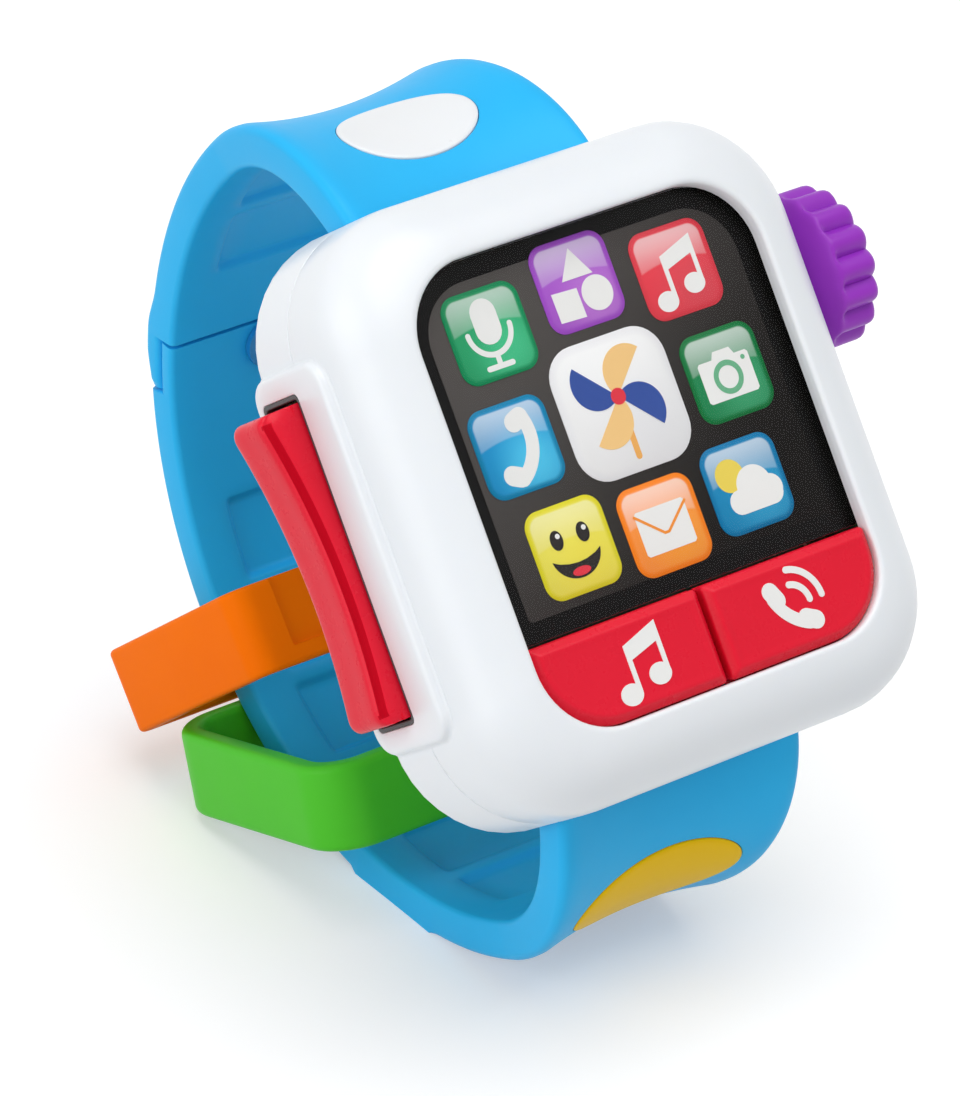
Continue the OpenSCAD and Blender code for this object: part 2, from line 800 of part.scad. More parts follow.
// Sprung contacts at both ends of the battery box: a plate on the wall and a bowed leaf.
module battery_contacts() {
    plate_t = 0.5;
    leaf_r = 2.4;
    plate_side = cell_r * 1.5;
    gap = (bay_w - cell_l) / 2;
    color(steel) stand() for (s = [-1, 1], e = [-1, 1])
        translate([e * (bay_w / 2 - seat_gap / 2), battery_y + s * cell_pitch / 2, -cell_depth])
            rotate([0, 0, 90 + e * 90]) {
                translate([0, -plate_side / 2, -plate_side / 2])
                    cube([plate_t, plate_side, plate_side]);
                along_x(leaf_r, plate_t, gap - seat_gap);
            }
}

module battery_door() {
    rib_t = 1.5;
    color(white) stand() difference() {
        union() {
            translate([door_x, battery_y, 0])
                plate(door_w, door_h, door_corner - seat_gap, case_back - door_t, case_back);
            for (x = [-1, 1]) translate([x * cell_l / 4 - rib_t / 2, battery_y - bay_h / 3,
                -case_back + door_t - seat_gap])
                cube([rib_t, bay_h * 2 / 3, case_back - door_t - cell_depth - cell_r]);
        }
        translate([door_screw_x, battery_y, 0])
            along_z(screw_r + run_fit * 2, case_back - door_t - over, case_back + over);
    }
}

module door_screw() {
    color(steel) stand() translate([door_screw_x, battery_y, 0]) {
        along_z(screw_r, case_back - screw_recess, case_back);
        along_z(screw_head_r, case_back, case_back + screw_head_t / 2);
    }
}

module case_screws() {
    seat = case_back - screw_recess;
    color(steel) stand() at_bosses() {
        along_z(screw_r, screw_tip * 1.5, seat);
        along_z(screw_head_r, seat, seat + screw_head_t);
    }
}

// The strap's path. Both halves are drawn as the upper one, and flip() mirrors the lower
// one about the loop's middle. A turn is measured at the arc's centre, from the way the
// face looks round over the top: up to the junction on the end arc, after it on the loop.
module flip(s) {
    translate([0, loop_y, 0]) mirror([0, s, 0]) translate([0, -loop_y, 0]) children();
}

function end_centre() = [loop_z - end_reach * sin(end_turn),
    loop_y + end_reach * cos(end_turn)];
function strap_exit() = asin((case_h / 2 - end_centre()[1]) / (end_r - strap_t / 2));
function arc_centre(turn) = turn <= junction ? end_centre() : [loop_z, loop_y];
function arc_r(turn) = turn <= junction ? end_r : loop_r;

// How far the strap has changed from its shape at the case to its shape at the back.
function taper(turn) = let (
        t = min(1, max(0, (turn - strap_exit()) / (taper_end - strap_exit()))))
    t * t * (3 - 2 * t);
function half_w(turn) = (strap_w_case + (strap_w_back - strap_w_case) * taper(turn)) / 2;
function dip(turn) = strap_dip_case + (strap_dip_back - strap_dip_case) * taper(turn);

// The band's section at a turn, as [x, depth below the outer face], all the way round.
// top and bottom are the depths of the band's faces at its rims.
rim_steps = 5;
dip_steps = 8;
function section(turn, top, bottom, narrow) = let (
        w = half_w(turn) - narrow, r = min(rim_r, (bottom - top) / 2), flat = w - r,
        sink = min(dip(turn), (bottom - top) / 2)) concat(
    [for (i = [0:dip_steps]) let (s = -1 + 2 * i / dip_steps)
        [s * flat, top + sink * (1 - s * s)]],
    [for (i = [1:rim_steps]) let (a = 90 * i / rim_steps)
        [flat + r * sin(a), top + r * (1 - cos(a))]],
    [for (i = [0:rim_steps - 1]) let (a = 90 * i / rim_steps)
        [flat + r * cos(a), bottom - r * (1 - sin(a))]],
    [for (s = [1, -1]) [s * flat, bottom]],
    [for (i = [rim_steps - 1:-1:0]) let (a = 90 * i / rim_steps)
        [-flat - r * cos(a), bottom - r * (1 - sin(a))]],
    [for (i = [rim_steps:-1:1]) let (a = 90 * i / rim_steps)
        [-flat - r * sin(a), top + r * (1 - cos(a))]]);

function on_path(turn, p) = let (c = arc_centre(turn), r = arc_r(turn) - p[1])
    [p[0], c[1] + r * sin(turn), c[0] + r * cos(turn)];

// A band along the path. Each station is [turn, top depth, bottom depth, narrowing].
module band(stations) {
    rings = [for (s = stations) [for (p = section(s[0], s[1], s[2], s[3])) on_path(s[0], p)]];
    n = len(rings[0]);
    last = len(rings) - 1;
    points = [for (r = rings) each r];
    sides = [for (k = [0:last - 1], i = [0:n - 1]) let (
        a = k * n + i, b = k * n + (i + 1) % n, c = b + n, d = a + n)
        each [[a, c, b], [a, d, c]]];
    start = [[for (i = [0:n - 1]) i]];
    end = [[for (i = [0:n - 1]) last * n + n - 1 - i]];
    polyhedron(points, concat(sides, start, end));
}

function stations(a, b, step, top, bottom) = let (n = max(1, ceil((b - a) / step)))
    [for (i = [0:n]) [a + (b - a) * i / n, top, bottom, 0]];

module along_turn(turn) {
    c = arc_centre(turn);
    translate([0, c[1], c[0]]) rotate([-turn, 0, 0]) children();
}

// An oval prism that stands on the strap's outer face, with w across and l along it.
module oval(turn, w, l, grow) {
    along_turn(turn) translate([0, 0, arc_r(turn) - 2 * strap_t / 3])
        linear_extrude(strap_t) scale([(w / 2 + grow) / over, (l / 2 + grow) / over])
            circle(over, $fn = 60);
}

module trim(turn, w, l, grow, top) {
    reach = (l / 2 + rim_r) / end_r * 180 / PI;
    intersection() {
        oval(turn, w, l, grow);
        band(stations(turn - reach, turn + reach, 6, -top, trim_t));
    }
}

module strap_pin_bore() {
    c = end_centre();
    r = end_r - strap_t / 2;
    translate([0, c[1] + r * sin(pin_turn), c[0] + r * cos(pin_turn)])
        along_x(pin_r + run_fit, -pin_reach - over, pin_reach + over);
}

module strap_lugs() {
    c = end_centre();
    r = end_r - strap_t / 2;
    for (s = [-1, 1])
        translate([s * (strap_w_case / 2 + 2 * seat_gap + lug_w / 2),
            c[1] + r * sin(pin_turn), -inner_back - seat_gap])
            translate([-lug_w / 2, -2 * pin_r, 0])
                cube([lug_w, 4 * pin_r, inner_back + c[0] + r * cos(pin_turn) + 2 * pin_r]);
}

// Shallow pockets along the inner face of the loop, between two turns.
module pockets(first, last) {
    for (turn = [first:pocket_pitch:last - pocket_pitch / 2]) along_turn(turn)
        translate([0, 0, loop_r - strap_t]) linear_extrude(2 * pocket_t, center = true)
            round_rect(strap_w_back * pocket_w_share, pocket_l, pocket_l / 4);
}

module strap_upper() {
    lap = upper_end - overlap_turn;
    color(blue) stand() difference() {
        band(concat(
            stations(strap_start, junction, 7, 0, strap_t),
            stations(junction + lap_gap_turn, lap - 4, 6, 0, strap_t),
            [[lap - lap_gap_turn, -bump, strap_t, 0], [lap, -bump, lap_t - bump, 0]],
            stations(lap + overlap_turn / 4, upper_end - overlap_turn / 4, 2, -bump,
                lap_t - bump),
            [[upper_end, -bump, lap_t - bump, rim_r]]));
        strap_pin_bore();
        rivet_bore();
        trim(badge_turn, badge_w, badge_l, seat_gap / 2, strap_t);
        pockets(junction + pocket_pitch / 2, upper_end - overlap_turn);
    }
}

// The pad that fills the strap's hollow at the foot, so that the foot is flat all over.
module foot_pad() {
    w = strap_w_back - 2 * rim_r;
    translate([-w / 2, -foot_l / 2, 0]) cube([w, foot_l, 2 * strap_t / 3 - foot_cut]);
}

module strap_lower() {
    lap = lower_end - overlap_turn;
    color(blue) difference() {
        union() {
            stand() difference() {
                flip(1) band(concat(
                    stations(strap_start, junction, 7, 0, strap_t),
                    stations(junction + lap_gap_turn, lap - lap_gap_turn, 6, 0, strap_t),
                    stations(lap, lower_end - 2 * lap_gap_turn, 2, lap_t - bump + seat_gap,
                        strap_t)));
                flip(1) strap_pin_bore();
                rivet_bore();
                flip(1) trim(inset_turn, inset_w, inset_l, seat_gap / 2, strap_t);
                flip(1) pockets(junction + pocket_pitch, lower_end - overlap_turn - pocket_pitch / 4);
            }
            foot_pad();
        }
        translate([-case_w / 2, -case_h / 2, -strap_t]) cube([case_w, case_h, strap_t]);
    }
}

module strap_pins() {
    c = end_centre();
    r = end_r - strap_t / 2;
    color(steel) stand() for (s = [0, 1]) flip(s)
        translate([0, c[1] + r * sin(pin_turn), c[0] + r * cos(pin_turn)])
            along_x(pin_r, -pin_reach, pin_reach);
}

module rivet_bore() {
    along_turn(overlap_mid) translate([0, 0, loop_r - 2 * strap_t])
        cylinder(r = rivet_r + run_fit, h = 4 * strap_t);
}

// The rivet that closes the strap's halves into one loop.
module strap_rivet() {
    color(blue * 0.8) stand() along_turn(overlap_mid) {
        translate([0, 0, loop_r - strap_t - seat_gap])
            cylinder(r = rivet_r, h = strap_t + bump + 2 * seat_gap);
        translate([0, 0, loop_r + bump + seat_gap])
            cylinder(r = rivet_head_r, h = rivet_head_t);
        translate([0, 0, loop_r - strap_t - seat_gap - rivet_head_t])
            cylinder(r = rivet_head_r, h = rivet_head_t);
    }
}

module strap_badge() {
    color(white) stand() trim(badge_turn, badge_w, badge_l, 0, trim_proud);
}

module strap_inset() {
    color(yellow) stand() flip(1) trim(inset_turn, inset_w, inset_l, 0, trim_proud);
}

// A ring is drawn lying flat, and leans back about the lower edge of its rear wall.
module ring(corner) {
    difference() {
        linear_extrude(ring_h) round_rect(ring_w, ring_l, corner);
        translate([0, 0, -over]) linear_extrude(ring_h + 2 * over)
            round_rect(ring_w - 2 * ring_wall, ring_l - 2 * ring_wall,
                max(corner - ring_wall, over / 2));
    }
}

module lean(back, lift, tilt) {
    translate([0, back, lift]) rotate([-tilt, 0, 0]) translate([0, -ring_l / 2, 0]) children();
}

module green_ring() {
    color(green) lean(green_back, 0, green_tilt) ring(green_corner);
}

module orange_ring() {
    recess_w = ring_w - 4 * ring_wall;
    recess_t = ring_wall / 4;
    color(orange) lean(green_back + orange_step, orange_lift, orange_tilt)
        difference() {
        ring(orange_corner);
        translate([-recess_w / 2, -ring_l / 2 - over, ring_h / 5])
            cube([recess_w, over + recess_t, ring_h]);
    }
}

front_shell();
rear_shell();
screen_lens();
icon_panel();
music_button();
call_button();
music_dome();
call_dome();
light_box();
circuit_board();
sound_chip();
leds();
board_screws();
rocker_frame();
rocker();
rocker_pin();
side_board();
side_switches();
knob();
knob_shaft();
knob_bush();
click_wheel();
click_spring();
speaker_basket();
speaker_cone();
speaker_magnet();
power_slider();
switch_body();
batteries();
battery_contacts();
battery_door();
door_screw();
case_screws();
strap_upper();
strap_lower();
strap_pins();
strap_rivet();
strap_badge();
strap_inset();
green_ring();
orange_ring();
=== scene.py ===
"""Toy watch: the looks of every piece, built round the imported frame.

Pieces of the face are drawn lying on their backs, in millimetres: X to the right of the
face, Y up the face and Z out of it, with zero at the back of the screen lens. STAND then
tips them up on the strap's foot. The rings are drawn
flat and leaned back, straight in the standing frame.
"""
import logging
import math
from contextlib import contextmanager
from dataclasses import dataclass, field
from enum import Enum
from typing import Callable, Iterator, Sequence

import bmesh
import bpy
from mathutils import Matrix, Vector


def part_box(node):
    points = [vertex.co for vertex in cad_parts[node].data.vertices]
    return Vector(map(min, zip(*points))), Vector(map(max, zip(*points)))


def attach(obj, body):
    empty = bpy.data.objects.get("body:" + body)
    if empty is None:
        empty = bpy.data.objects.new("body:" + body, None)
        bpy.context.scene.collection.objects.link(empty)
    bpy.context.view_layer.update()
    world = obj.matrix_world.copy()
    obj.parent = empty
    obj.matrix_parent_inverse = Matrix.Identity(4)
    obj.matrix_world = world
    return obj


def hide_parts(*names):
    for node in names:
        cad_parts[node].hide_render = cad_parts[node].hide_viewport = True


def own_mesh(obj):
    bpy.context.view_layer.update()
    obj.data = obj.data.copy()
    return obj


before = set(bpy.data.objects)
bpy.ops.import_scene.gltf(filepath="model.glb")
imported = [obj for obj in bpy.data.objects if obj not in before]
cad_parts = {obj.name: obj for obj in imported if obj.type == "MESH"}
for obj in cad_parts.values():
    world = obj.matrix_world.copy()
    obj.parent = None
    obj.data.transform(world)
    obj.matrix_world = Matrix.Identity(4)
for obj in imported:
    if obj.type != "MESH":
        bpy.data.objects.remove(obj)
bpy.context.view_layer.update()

MM = 0.001
MICRON = 1e-6
log = logging.getLogger("toy_watch")

STAND_ANGLE = math.radians(54)
LOOP_R = 71.5
FOOT_CUT = 1.0
LOOP_Y = 1.0
LOOP_Z = -48.99941
UV_NAME = "tile"

CRISP = 40.0
SOLID_CRISP = 30.0
SOLID_FLAT = 0.5
SOLID_MERGE = 0.001
SWEEP_MERGE = 0.002
DISC_STEPS = 40
OVAL_STEPS = 72
ARC_STEPS = 24
END_STEPS = 8
BAR_STEPS = 10

Point = tuple[float, float, float]
Pair = tuple[float, float]
Rows = Sequence[Pair]
Outline = list[Vector]
Colour = tuple[float, float, float]


def stand_matrix() -> Matrix:
    """Gives the matrix that tips the face frame up on the strap's foot."""
    c, s = math.cos(STAND_ANGLE), math.sin(STAND_ANGLE)
    back = -LOOP_Y * c + LOOP_Z * s
    rise = LOOP_R - FOOT_CUT - LOOP_Y * s - LOOP_Z * c
    return (Matrix.Translation(Vector((0, back, rise)) * MM)
            @ Matrix.Rotation(STAND_ANGLE, 4, "X"))


STAND = stand_matrix()


# ---------------------------------------------------------------- the bench

class Ends(Enum):
    """How the ends of a swept piece are closed."""

    CAPPED = "capped"
    JOINED = "joined"


class Join(Enum):
    """What a boolean makes of a piece and its tool."""

    ADD = "UNION"
    CUT = "DIFFERENCE"
    SHARED = "INTERSECT"


def clear_selection() -> None:
    """Deselects everything, so that the next operator acts on its own piece."""
    if bpy.context.object and bpy.context.object.mode != "OBJECT":
        bpy.ops.object.mode_set(mode="OBJECT")
    bpy.ops.object.select_all(action="DESELECT")


def select_only(obj: bpy.types.Object) -> None:
    """Selects one object alone and makes it active.

    Args:
        obj: The object.
    """
    clear_selection()
    obj.select_set(True)
    bpy.context.view_layer.objects.active = obj


@contextmanager
def editing(obj: bpy.types.Object) -> Iterator[None]:
    """Opens a piece in edit mode with nothing selected.

    Args:
        obj: The piece to edit.

    Yields:
        Nothing; the operators act on the piece.
    """
    select_only(obj)
    bpy.ops.object.mode_set(mode="EDIT")
    bpy.ops.mesh.select_all(action="DESELECT")
    try:
        yield
    finally:
        bpy.ops.object.mode_set(mode="OBJECT")


def pick_faces(test: Callable[[Vector], bool]) -> None:
    """Selects the faces of the mesh in edit mode that pass a test.

    Args:
        test: Called with the middle of each face, in millimetres.
    """
    bpy.ops.mesh.select_mode(type="FACE")
    bpy.ops.mesh.select_all(action="DESELECT")
    mesh = bmesh.from_edit_mesh(bpy.context.object.data)
    for face in mesh.faces:
        if test(face.calc_center_median() / MM):
            face.select_set(True)
    mesh.select_flush_mode()
    bmesh.update_edit_mesh(bpy.context.object.data)


def name_piece(name: str) -> bpy.types.Object:
    """Names the active object and its mesh.

    Args:
        name: The piece's name.

    Returns:
        The object.
    """
    obj = bpy.context.object
    obj.name = name
    obj.data.name = name
    return obj


def apply_all(obj: bpy.types.Object) -> None:
    """Applies every modifier of a piece, and then its place, turn and scale.

    Args:
        obj: The piece.
    """
    select_only(obj)
    for modifier in list(obj.modifiers):
        bpy.ops.object.modifier_apply(modifier=modifier.name)
    bpy.ops.object.transform_apply(location=True, rotation=True, scale=True)


def place(obj: bpy.types.Object, matrix: Matrix) -> bpy.types.Object:
    """Puts a piece where it belongs, with its place in its mesh.

    Args:
        obj: The piece, drawn in its own frame.
        matrix: The way from that frame to the standing frame.

    Returns:
        The piece.
    """
    apply_all(obj)
    obj.matrix_world = matrix
    apply_all(obj)
    return obj


def close_mesh(obj: bpy.types.Object) -> None:
    """Merges doubled points, fills open ends and turns every face outwards.

    Args:
        obj: The piece.
    """
    with editing(obj):
        bpy.ops.mesh.select_all(action="SELECT")
        bpy.ops.mesh.remove_doubles(threshold=SWEEP_MERGE * MM)
        bpy.ops.mesh.fill_holes(sides=0)
        bpy.ops.mesh.normals_make_consistent(inside=False)


def smooth(obj: bpy.types.Object, angle: float = CRISP) -> bpy.types.Object:
    """Shades a piece smooth, with edges sharper than an angle left crisp.

    Args:
        obj: The piece.
        angle: The angle in degrees.

    Returns:
        The piece.
    """
    select_only(obj)
    bpy.ops.object.shade_smooth_by_angle(angle=math.radians(angle))
    return obj


def bevel(obj: bpy.types.Object, width: float, segments: int) -> bpy.types.Object:
    """Rounds a piece's sharp edges with an applied modifier.

    Args:
        obj: The piece.
        width: Width of the rounding in millimetres.
        segments: Steps in the rounding.

    Returns:
        The piece.
    """
    select_only(obj)
    modifier = obj.modifiers.new("round", "BEVEL")
    modifier.width = width * MM
    modifier.segments = segments
    modifier.limit_method = "ANGLE"
    modifier.angle_limit = math.radians(CRISP)
    bpy.ops.object.modifier_apply(modifier="round")
    return obj


def boolean(obj: bpy.types.Object, tool: bpy.types.Object,
            join: Join) -> bpy.types.Object:
    """Joins a tool to a piece, or cuts it away, and removes the tool.

    Args:
        obj: The piece.
        tool: The second solid.
        join: What becomes of the two.

    Returns:
        The piece.
    """
    select_only(obj)
    modifier = obj.modifiers.new("join", "BOOLEAN")
    modifier.operation = join.value
    modifier.solver = "EXACT"
    modifier.object = tool
    bpy.ops.object.modifier_apply(modifier="join")
    bpy.data.objects.remove(tool, do_unlink=True)
    return obj


def from_solid(node: str, name: str, stands: bool = True) -> bpy.types.Object:
    """Takes a merged and smoothly shaded copy of a solid, as a start for its piece.

    Args:
        node: The solid's name.
        name: The new piece's name.
        stands: Whether the copy stands for the solid from here on.

    Returns:
        The copy.
    """
    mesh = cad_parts[node].data.copy()
    obj = bpy.data.objects.new(name, mesh)
    bpy.context.scene.collection.objects.link(obj)
    mesh.materials.clear()
    mesh.name = name
    with editing(obj):
        bpy.ops.mesh.select_all(action="SELECT")
        bpy.ops.mesh.customdata_custom_splitnormals_clear()
        bpy.ops.mesh.remove_doubles(threshold=SOLID_MERGE * MM)
        bpy.ops.mesh.dissolve_limited(angle_limit=math.radians(SOLID_FLAT))
    smooth(obj, SOLID_CRISP)
    if stands:
        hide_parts(node)
    return obj


# ---------------------------------------------------------------- basic shapes

def block(name: str, low: Point, high: Point) -> bpy.types.Object:
    """Adds a block between two corners given in millimetres.

    Args:
        name: The block's name.
        low: Its lowest corner.
        high: Its highest corner.

    Returns:
        The block.
    """
    clear_selection()
    a, b = Vector(low) * MM, Vector(high) * MM
    bpy.ops.mesh.primitive_cube_add(size=1, location=(a + b) / 2)
    obj = name_piece(name)
    obj.scale = b - a
    apply_all(obj)
    return obj


def rod(name: str, start: Point, end: Point, radius: float) -> bpy.types.Object:
    """Adds a round rod between two points given in millimetres.

    Args:
        name: The rod's name.
        start: The middle of one end.
        end: The middle of the other.
        radius: Its radius.

    Returns:
        The rod.
    """
    clear_selection()
    a, b = Vector(start) * MM, Vector(end) * MM
    turn = (b - a).to_track_quat("Z", "Y").to_euler()
    bpy.ops.mesh.primitive_cylinder_add(vertices=48, radius=radius * MM,
                                        depth=(b - a).length, location=(a + b) / 2,
                                        rotation=turn)
    obj = name_piece(name)
    apply_all(obj)
    return obj


def lay_last(outline: Outline) -> None:
    """Puts the newest points of the mesh in edit mode onto an outline.

    Args:
        outline: As many points as were last added, in millimetres.
    """
    obj = bpy.context.object
    mesh = bmesh.from_edit_mesh(obj.data)
    mesh.verts.ensure_lookup_table()
    for vert, co in zip(mesh.verts[-len(outline):], outline):
        vert.co = co * MM
    bmesh.update_edit_mesh(obj.data)


def sweep(name: str, outlines: Sequence[Outline],
          ends: Ends = Ends.CAPPED) -> bpy.types.Object:
    """Draws a circle onto the first outline and extrudes it from one to the next.

    Args:
        name: The piece's name.
        outlines: Closed outlines of equal length, in millimetres.
        ends: Whether the ends are capped, or the last outline runs on into the first.

    Returns:
        The swept piece, closed and with its faces turned outwards.
    """
    clear_selection()
    bpy.ops.mesh.primitive_circle_add(vertices=len(outlines[0]), radius=MM)
    obj = name_piece(name)
    rest = [*outlines[1:], outlines[0]] if ends is Ends.JOINED else outlines[1:]
    with editing(obj):
        bpy.ops.mesh.select_mode(type="EDGE")
        bpy.ops.mesh.select_all(action="SELECT")
        lay_last(outlines[0])
        for outline in rest:
            bpy.ops.mesh.extrude_edges_move(MESH_OT_extrude_edges_indiv={},
                                            TRANSFORM_OT_translate={"value": (0, 0, 0)})
            lay_last(outline)
    close_mesh(obj)
    return obj


def round_rect(w: float, h: float, r: float | tuple[float, float, float, float], z: float,
               steps: int, middle: Pair = (0.0, 0.0)) -> Outline:
    """Gives the outline of a rectangle with round corners.

    Args:
        w: Its width along X.
        h: Its height along Y.
        r: Its corner radius, or one each for lower right, upper right, upper left and
            lower left.
        z: Its height.
        steps: Steps round each corner.
        middle: Where its middle lies.

    Returns:
        The points, counterclockwise.
    """
    radii = r if isinstance(r, tuple) else (r,) * 4
    signs = ((1, -1), (1, 1), (-1, 1), (-1, -1))
    points = []
    for corner, ((sx, sy), radius) in enumerate(zip(signs, radii)):
        cx, cy = middle[0] + sx * (w / 2 - radius), middle[1] + sy * (h / 2 - radius)
        for step in range(steps + 1):
            a = math.radians(-90 + 90 * corner + 90 * step / steps)
            points.append(Vector((*polar(cx, cy, radius, a), z)))
    return points


def polar(x: float, y: float, r: float, angle: float) -> Pair:
    """Gives the point at a distance from a place, at an angle in radians."""
    return (x + r * math.cos(angle), y + r * math.sin(angle))


def quarter(steps: int) -> list[float]:
    """Gives the angles that divide a quarter turn into steps, in radians."""
    return [math.radians(90 * k / steps) for k in range(steps + 1)]


def smoothstep(t: float) -> float:
    """Eases from 0 to 1 as t does, and stays there outside that run."""
    t = min(1.0, max(0.0, t))
    return t * t * (3 - 2 * t)


# ---------------------------------------------------------------- finishes

def srgb(red: float, green: float, blue: float) -> tuple[float, float, float, float]:
    """Turns a colour as a screen shows it, 0 to 255, into a shader's values."""
    def linear(value: float) -> float:
        """Turns one channel."""
        v = value / 255
        return v / 12.92 if v <= 0.04045 else ((v + 0.055) / 1.055) ** 2.4
    return (linear(red), linear(green), linear(blue), 1.0)


class Graph:
    """A node tree with short ways to add and join its nodes."""

    def __init__(self, tree: bpy.types.NodeTree) -> None:
        """Keeps the tree.

        Args:
            tree: The material's or group's node tree.
        """
        self.tree = tree

    def feed(self, node: bpy.types.Node, **inputs: object) -> None:
        """Sets a node's inputs, or joins sockets to them.

        Args:
            node: The node.
            **inputs: A value or a socket for each input, with _ for a space in its name
                and _0, _1 or _2 for an input by its number.
        """
        for key, value in inputs.items():
            number = key.removeprefix("_")
            where = int(number) if number.isdigit() else key.replace("_", " ")
            socket = node.inputs[where]
            if isinstance(value, bpy.types.NodeSocket):
                self.tree.links.new(value, socket)
            else:
                socket.default_value = value

    def add(self, kind: str, settings: dict | None = None,
            **inputs: object) -> bpy.types.Node:
        """Adds a node.

        Args:
            kind: The node's type.
            settings: The node's own properties.
            **inputs: Its inputs, as feed takes them.

        Returns:
            The node.
        """
        node = self.tree.nodes.new(kind)
        for key, value in (settings or {}).items():
            setattr(node, key, value)
        self.feed(node, **inputs)
        return node

    def group(self, tree: bpy.types.NodeTree, **inputs: object) -> bpy.types.Node:
        """Places a node group.

        Args:
            tree: The group.
            **inputs: Its inputs, as feed takes them.

        Returns:
            The group's node.
        """
        return self.add("ShaderNodeGroup", {"node_tree": tree}, **inputs)

    def where(self) -> bpy.types.NodeSocket:
        """Gives the place on the object, which every pattern follows."""
        return self.add("ShaderNodeTexCoord").outputs["Object"]

    def noise(self, scale: object, detail: float = 2.0, rough: float = 0.5,
              where: bpy.types.NodeSocket | None = None) -> bpy.types.NodeSocket:
        """Adds a noise over the object.

        Args:
            scale: Its scale.
            detail: How many finer layers it has.
            rough: How strong these are.
            where: The place that it reads, the object's own where it isn't given.

        Returns:
            Its value.
        """
        if where is None:
            where = self.where()
        node = self.add("ShaderNodeTexNoise", Vector=where, Scale=scale, Detail=detail,
                        Roughness=rough)
        return node.outputs["Fac"]

    def bump(self, strength: float, distance: float,
             height: bpy.types.NodeSocket) -> bpy.types.NodeSocket:
        """Adds a bump.

        Args:
            strength: Its strength, 0 to 1.
            distance: How deep it is, in metres.
            height: The height that it follows.

        Returns:
            Its normal.
        """
        return self.add("ShaderNodeBump", Strength=strength, Distance=distance,
                        Height=height).outputs[0]

    def math(self, operation: str, *values: object,
             clamp: bool = False) -> bpy.types.NodeSocket:
        """Adds a Math node.

        Args:
            operation: Its operation.
            *values: Its inputs, as numbers or sockets.
            clamp: Whether the result is kept within 0 to 1.

        Returns:
            Its output.
        """
        node = self.add("ShaderNodeMath", {"operation": operation, "use_clamp": clamp},
                        **{f"_{i}": value for i, value in enumerate(values)})
        return node.outputs[0]

    def mix(self, factor: object, a: object, b: object) -> bpy.types.NodeSocket:
        """Mixes two colours.

        Args:
            factor: How much of the second shows.
            a: The first colour.
            b: The second colour.

        Returns:
            The mixed colour.
        """
        return self.add("ShaderNodeMix", {"data_type": "RGBA"}, _0=factor, _6=a,
                        _7=b).outputs[2]

    def length(self, x: bpy.types.NodeSocket,
               y: bpy.types.NodeSocket) -> bpy.types.NodeSocket:
        """Gives the length of a flat vector.

        Args:
            x: Its first part.
            y: Its second part.

        Returns:
            The length.
        """
        squares = [self.math("MULTIPLY", part, part) for part in (x, y)]
        return self.math("SQRT", self.math("ADD", *squares))

    def ramp(self, value: bpy.types.NodeSocket, low: float,
             high: float) -> bpy.types.NodeSocket:
        """Eases a value from 0 to 1 between two limits.

        Args:
            value: The value.
            low: Where it is still 0.
            high: Where it is 1.

        Returns:
            The eased value.
        """
        node = self.add("ShaderNodeMapRange", {"interpolation_type": "SMOOTHSTEP"},
                        Value=value, From_Min=low, From_Max=high)
        return node.outputs[0]

    def seen(self) -> bpy.types.NodeSocket:
        """Gives 1 to the rays that look at a surface, straight, mirrored or through the
        lens, and 0 to the rays that carry its light to others."""
        path = self.add("ShaderNodeLightPath").outputs
        straight = self.math("MAXIMUM", path["Is Camera Ray"], path["Is Glossy Ray"])
        return self.math("MAXIMUM", straight, path["Is Transmission Ray"])


def moulded_group() -> bpy.types.NodeTree:
    """Makes the group for moulded plastic: a slow drift of colour, gloss that varies, and
    the fine grain that a mould leaves.

    Returns:
        The group.
    """
    tree = bpy.data.node_groups.new("moulded_surface", "ShaderNodeTree")
    face = tree.interface
    for name, kind in (("Colour", "NodeSocketColor"), ("Deep", "NodeSocketColor"),
                       ("Drift", "NodeSocketFloat"), ("Roughness", "NodeSocketFloat"),
                       ("Spread", "NodeSocketFloat"), ("Grain Size", "NodeSocketFloat")):
        face.new_socket(name, in_out="INPUT", socket_type=kind)
    for name, kind in (("Colour", "NodeSocketColor"), ("Roughness", "NodeSocketFloat"),
                       ("Height", "NodeSocketFloat")):
        face.new_socket(name, in_out="OUTPUT", socket_type=kind)
    g = Graph(tree)
    given = g.add("NodeGroupInput").outputs
    where = g.where()
    slow = g.noise(38.0, 3.0, 0.55, where)
    wide = g.noise(260.0, 4.0, 0.6, where)
    fine = g.noise(given["Grain Size"], where=where)
    drift = g.math("MULTIPLY", g.ramp(slow, 0.35, 0.7), given["Drift"])
    sway = g.math("MULTIPLY", g.math("SUBTRACT", wide, 0.5), given["Spread"])
    g.add("NodeGroupOutput", Colour=g.mix(drift, given["Colour"], given["Deep"]),
          Roughness=g.math("ADD", given["Roughness"], sway, clamp=True),
          Height=g.math("ADD", g.math("MULTIPLY", wide, 0.6), fine))
    return tree


MOULDED = moulded_group()


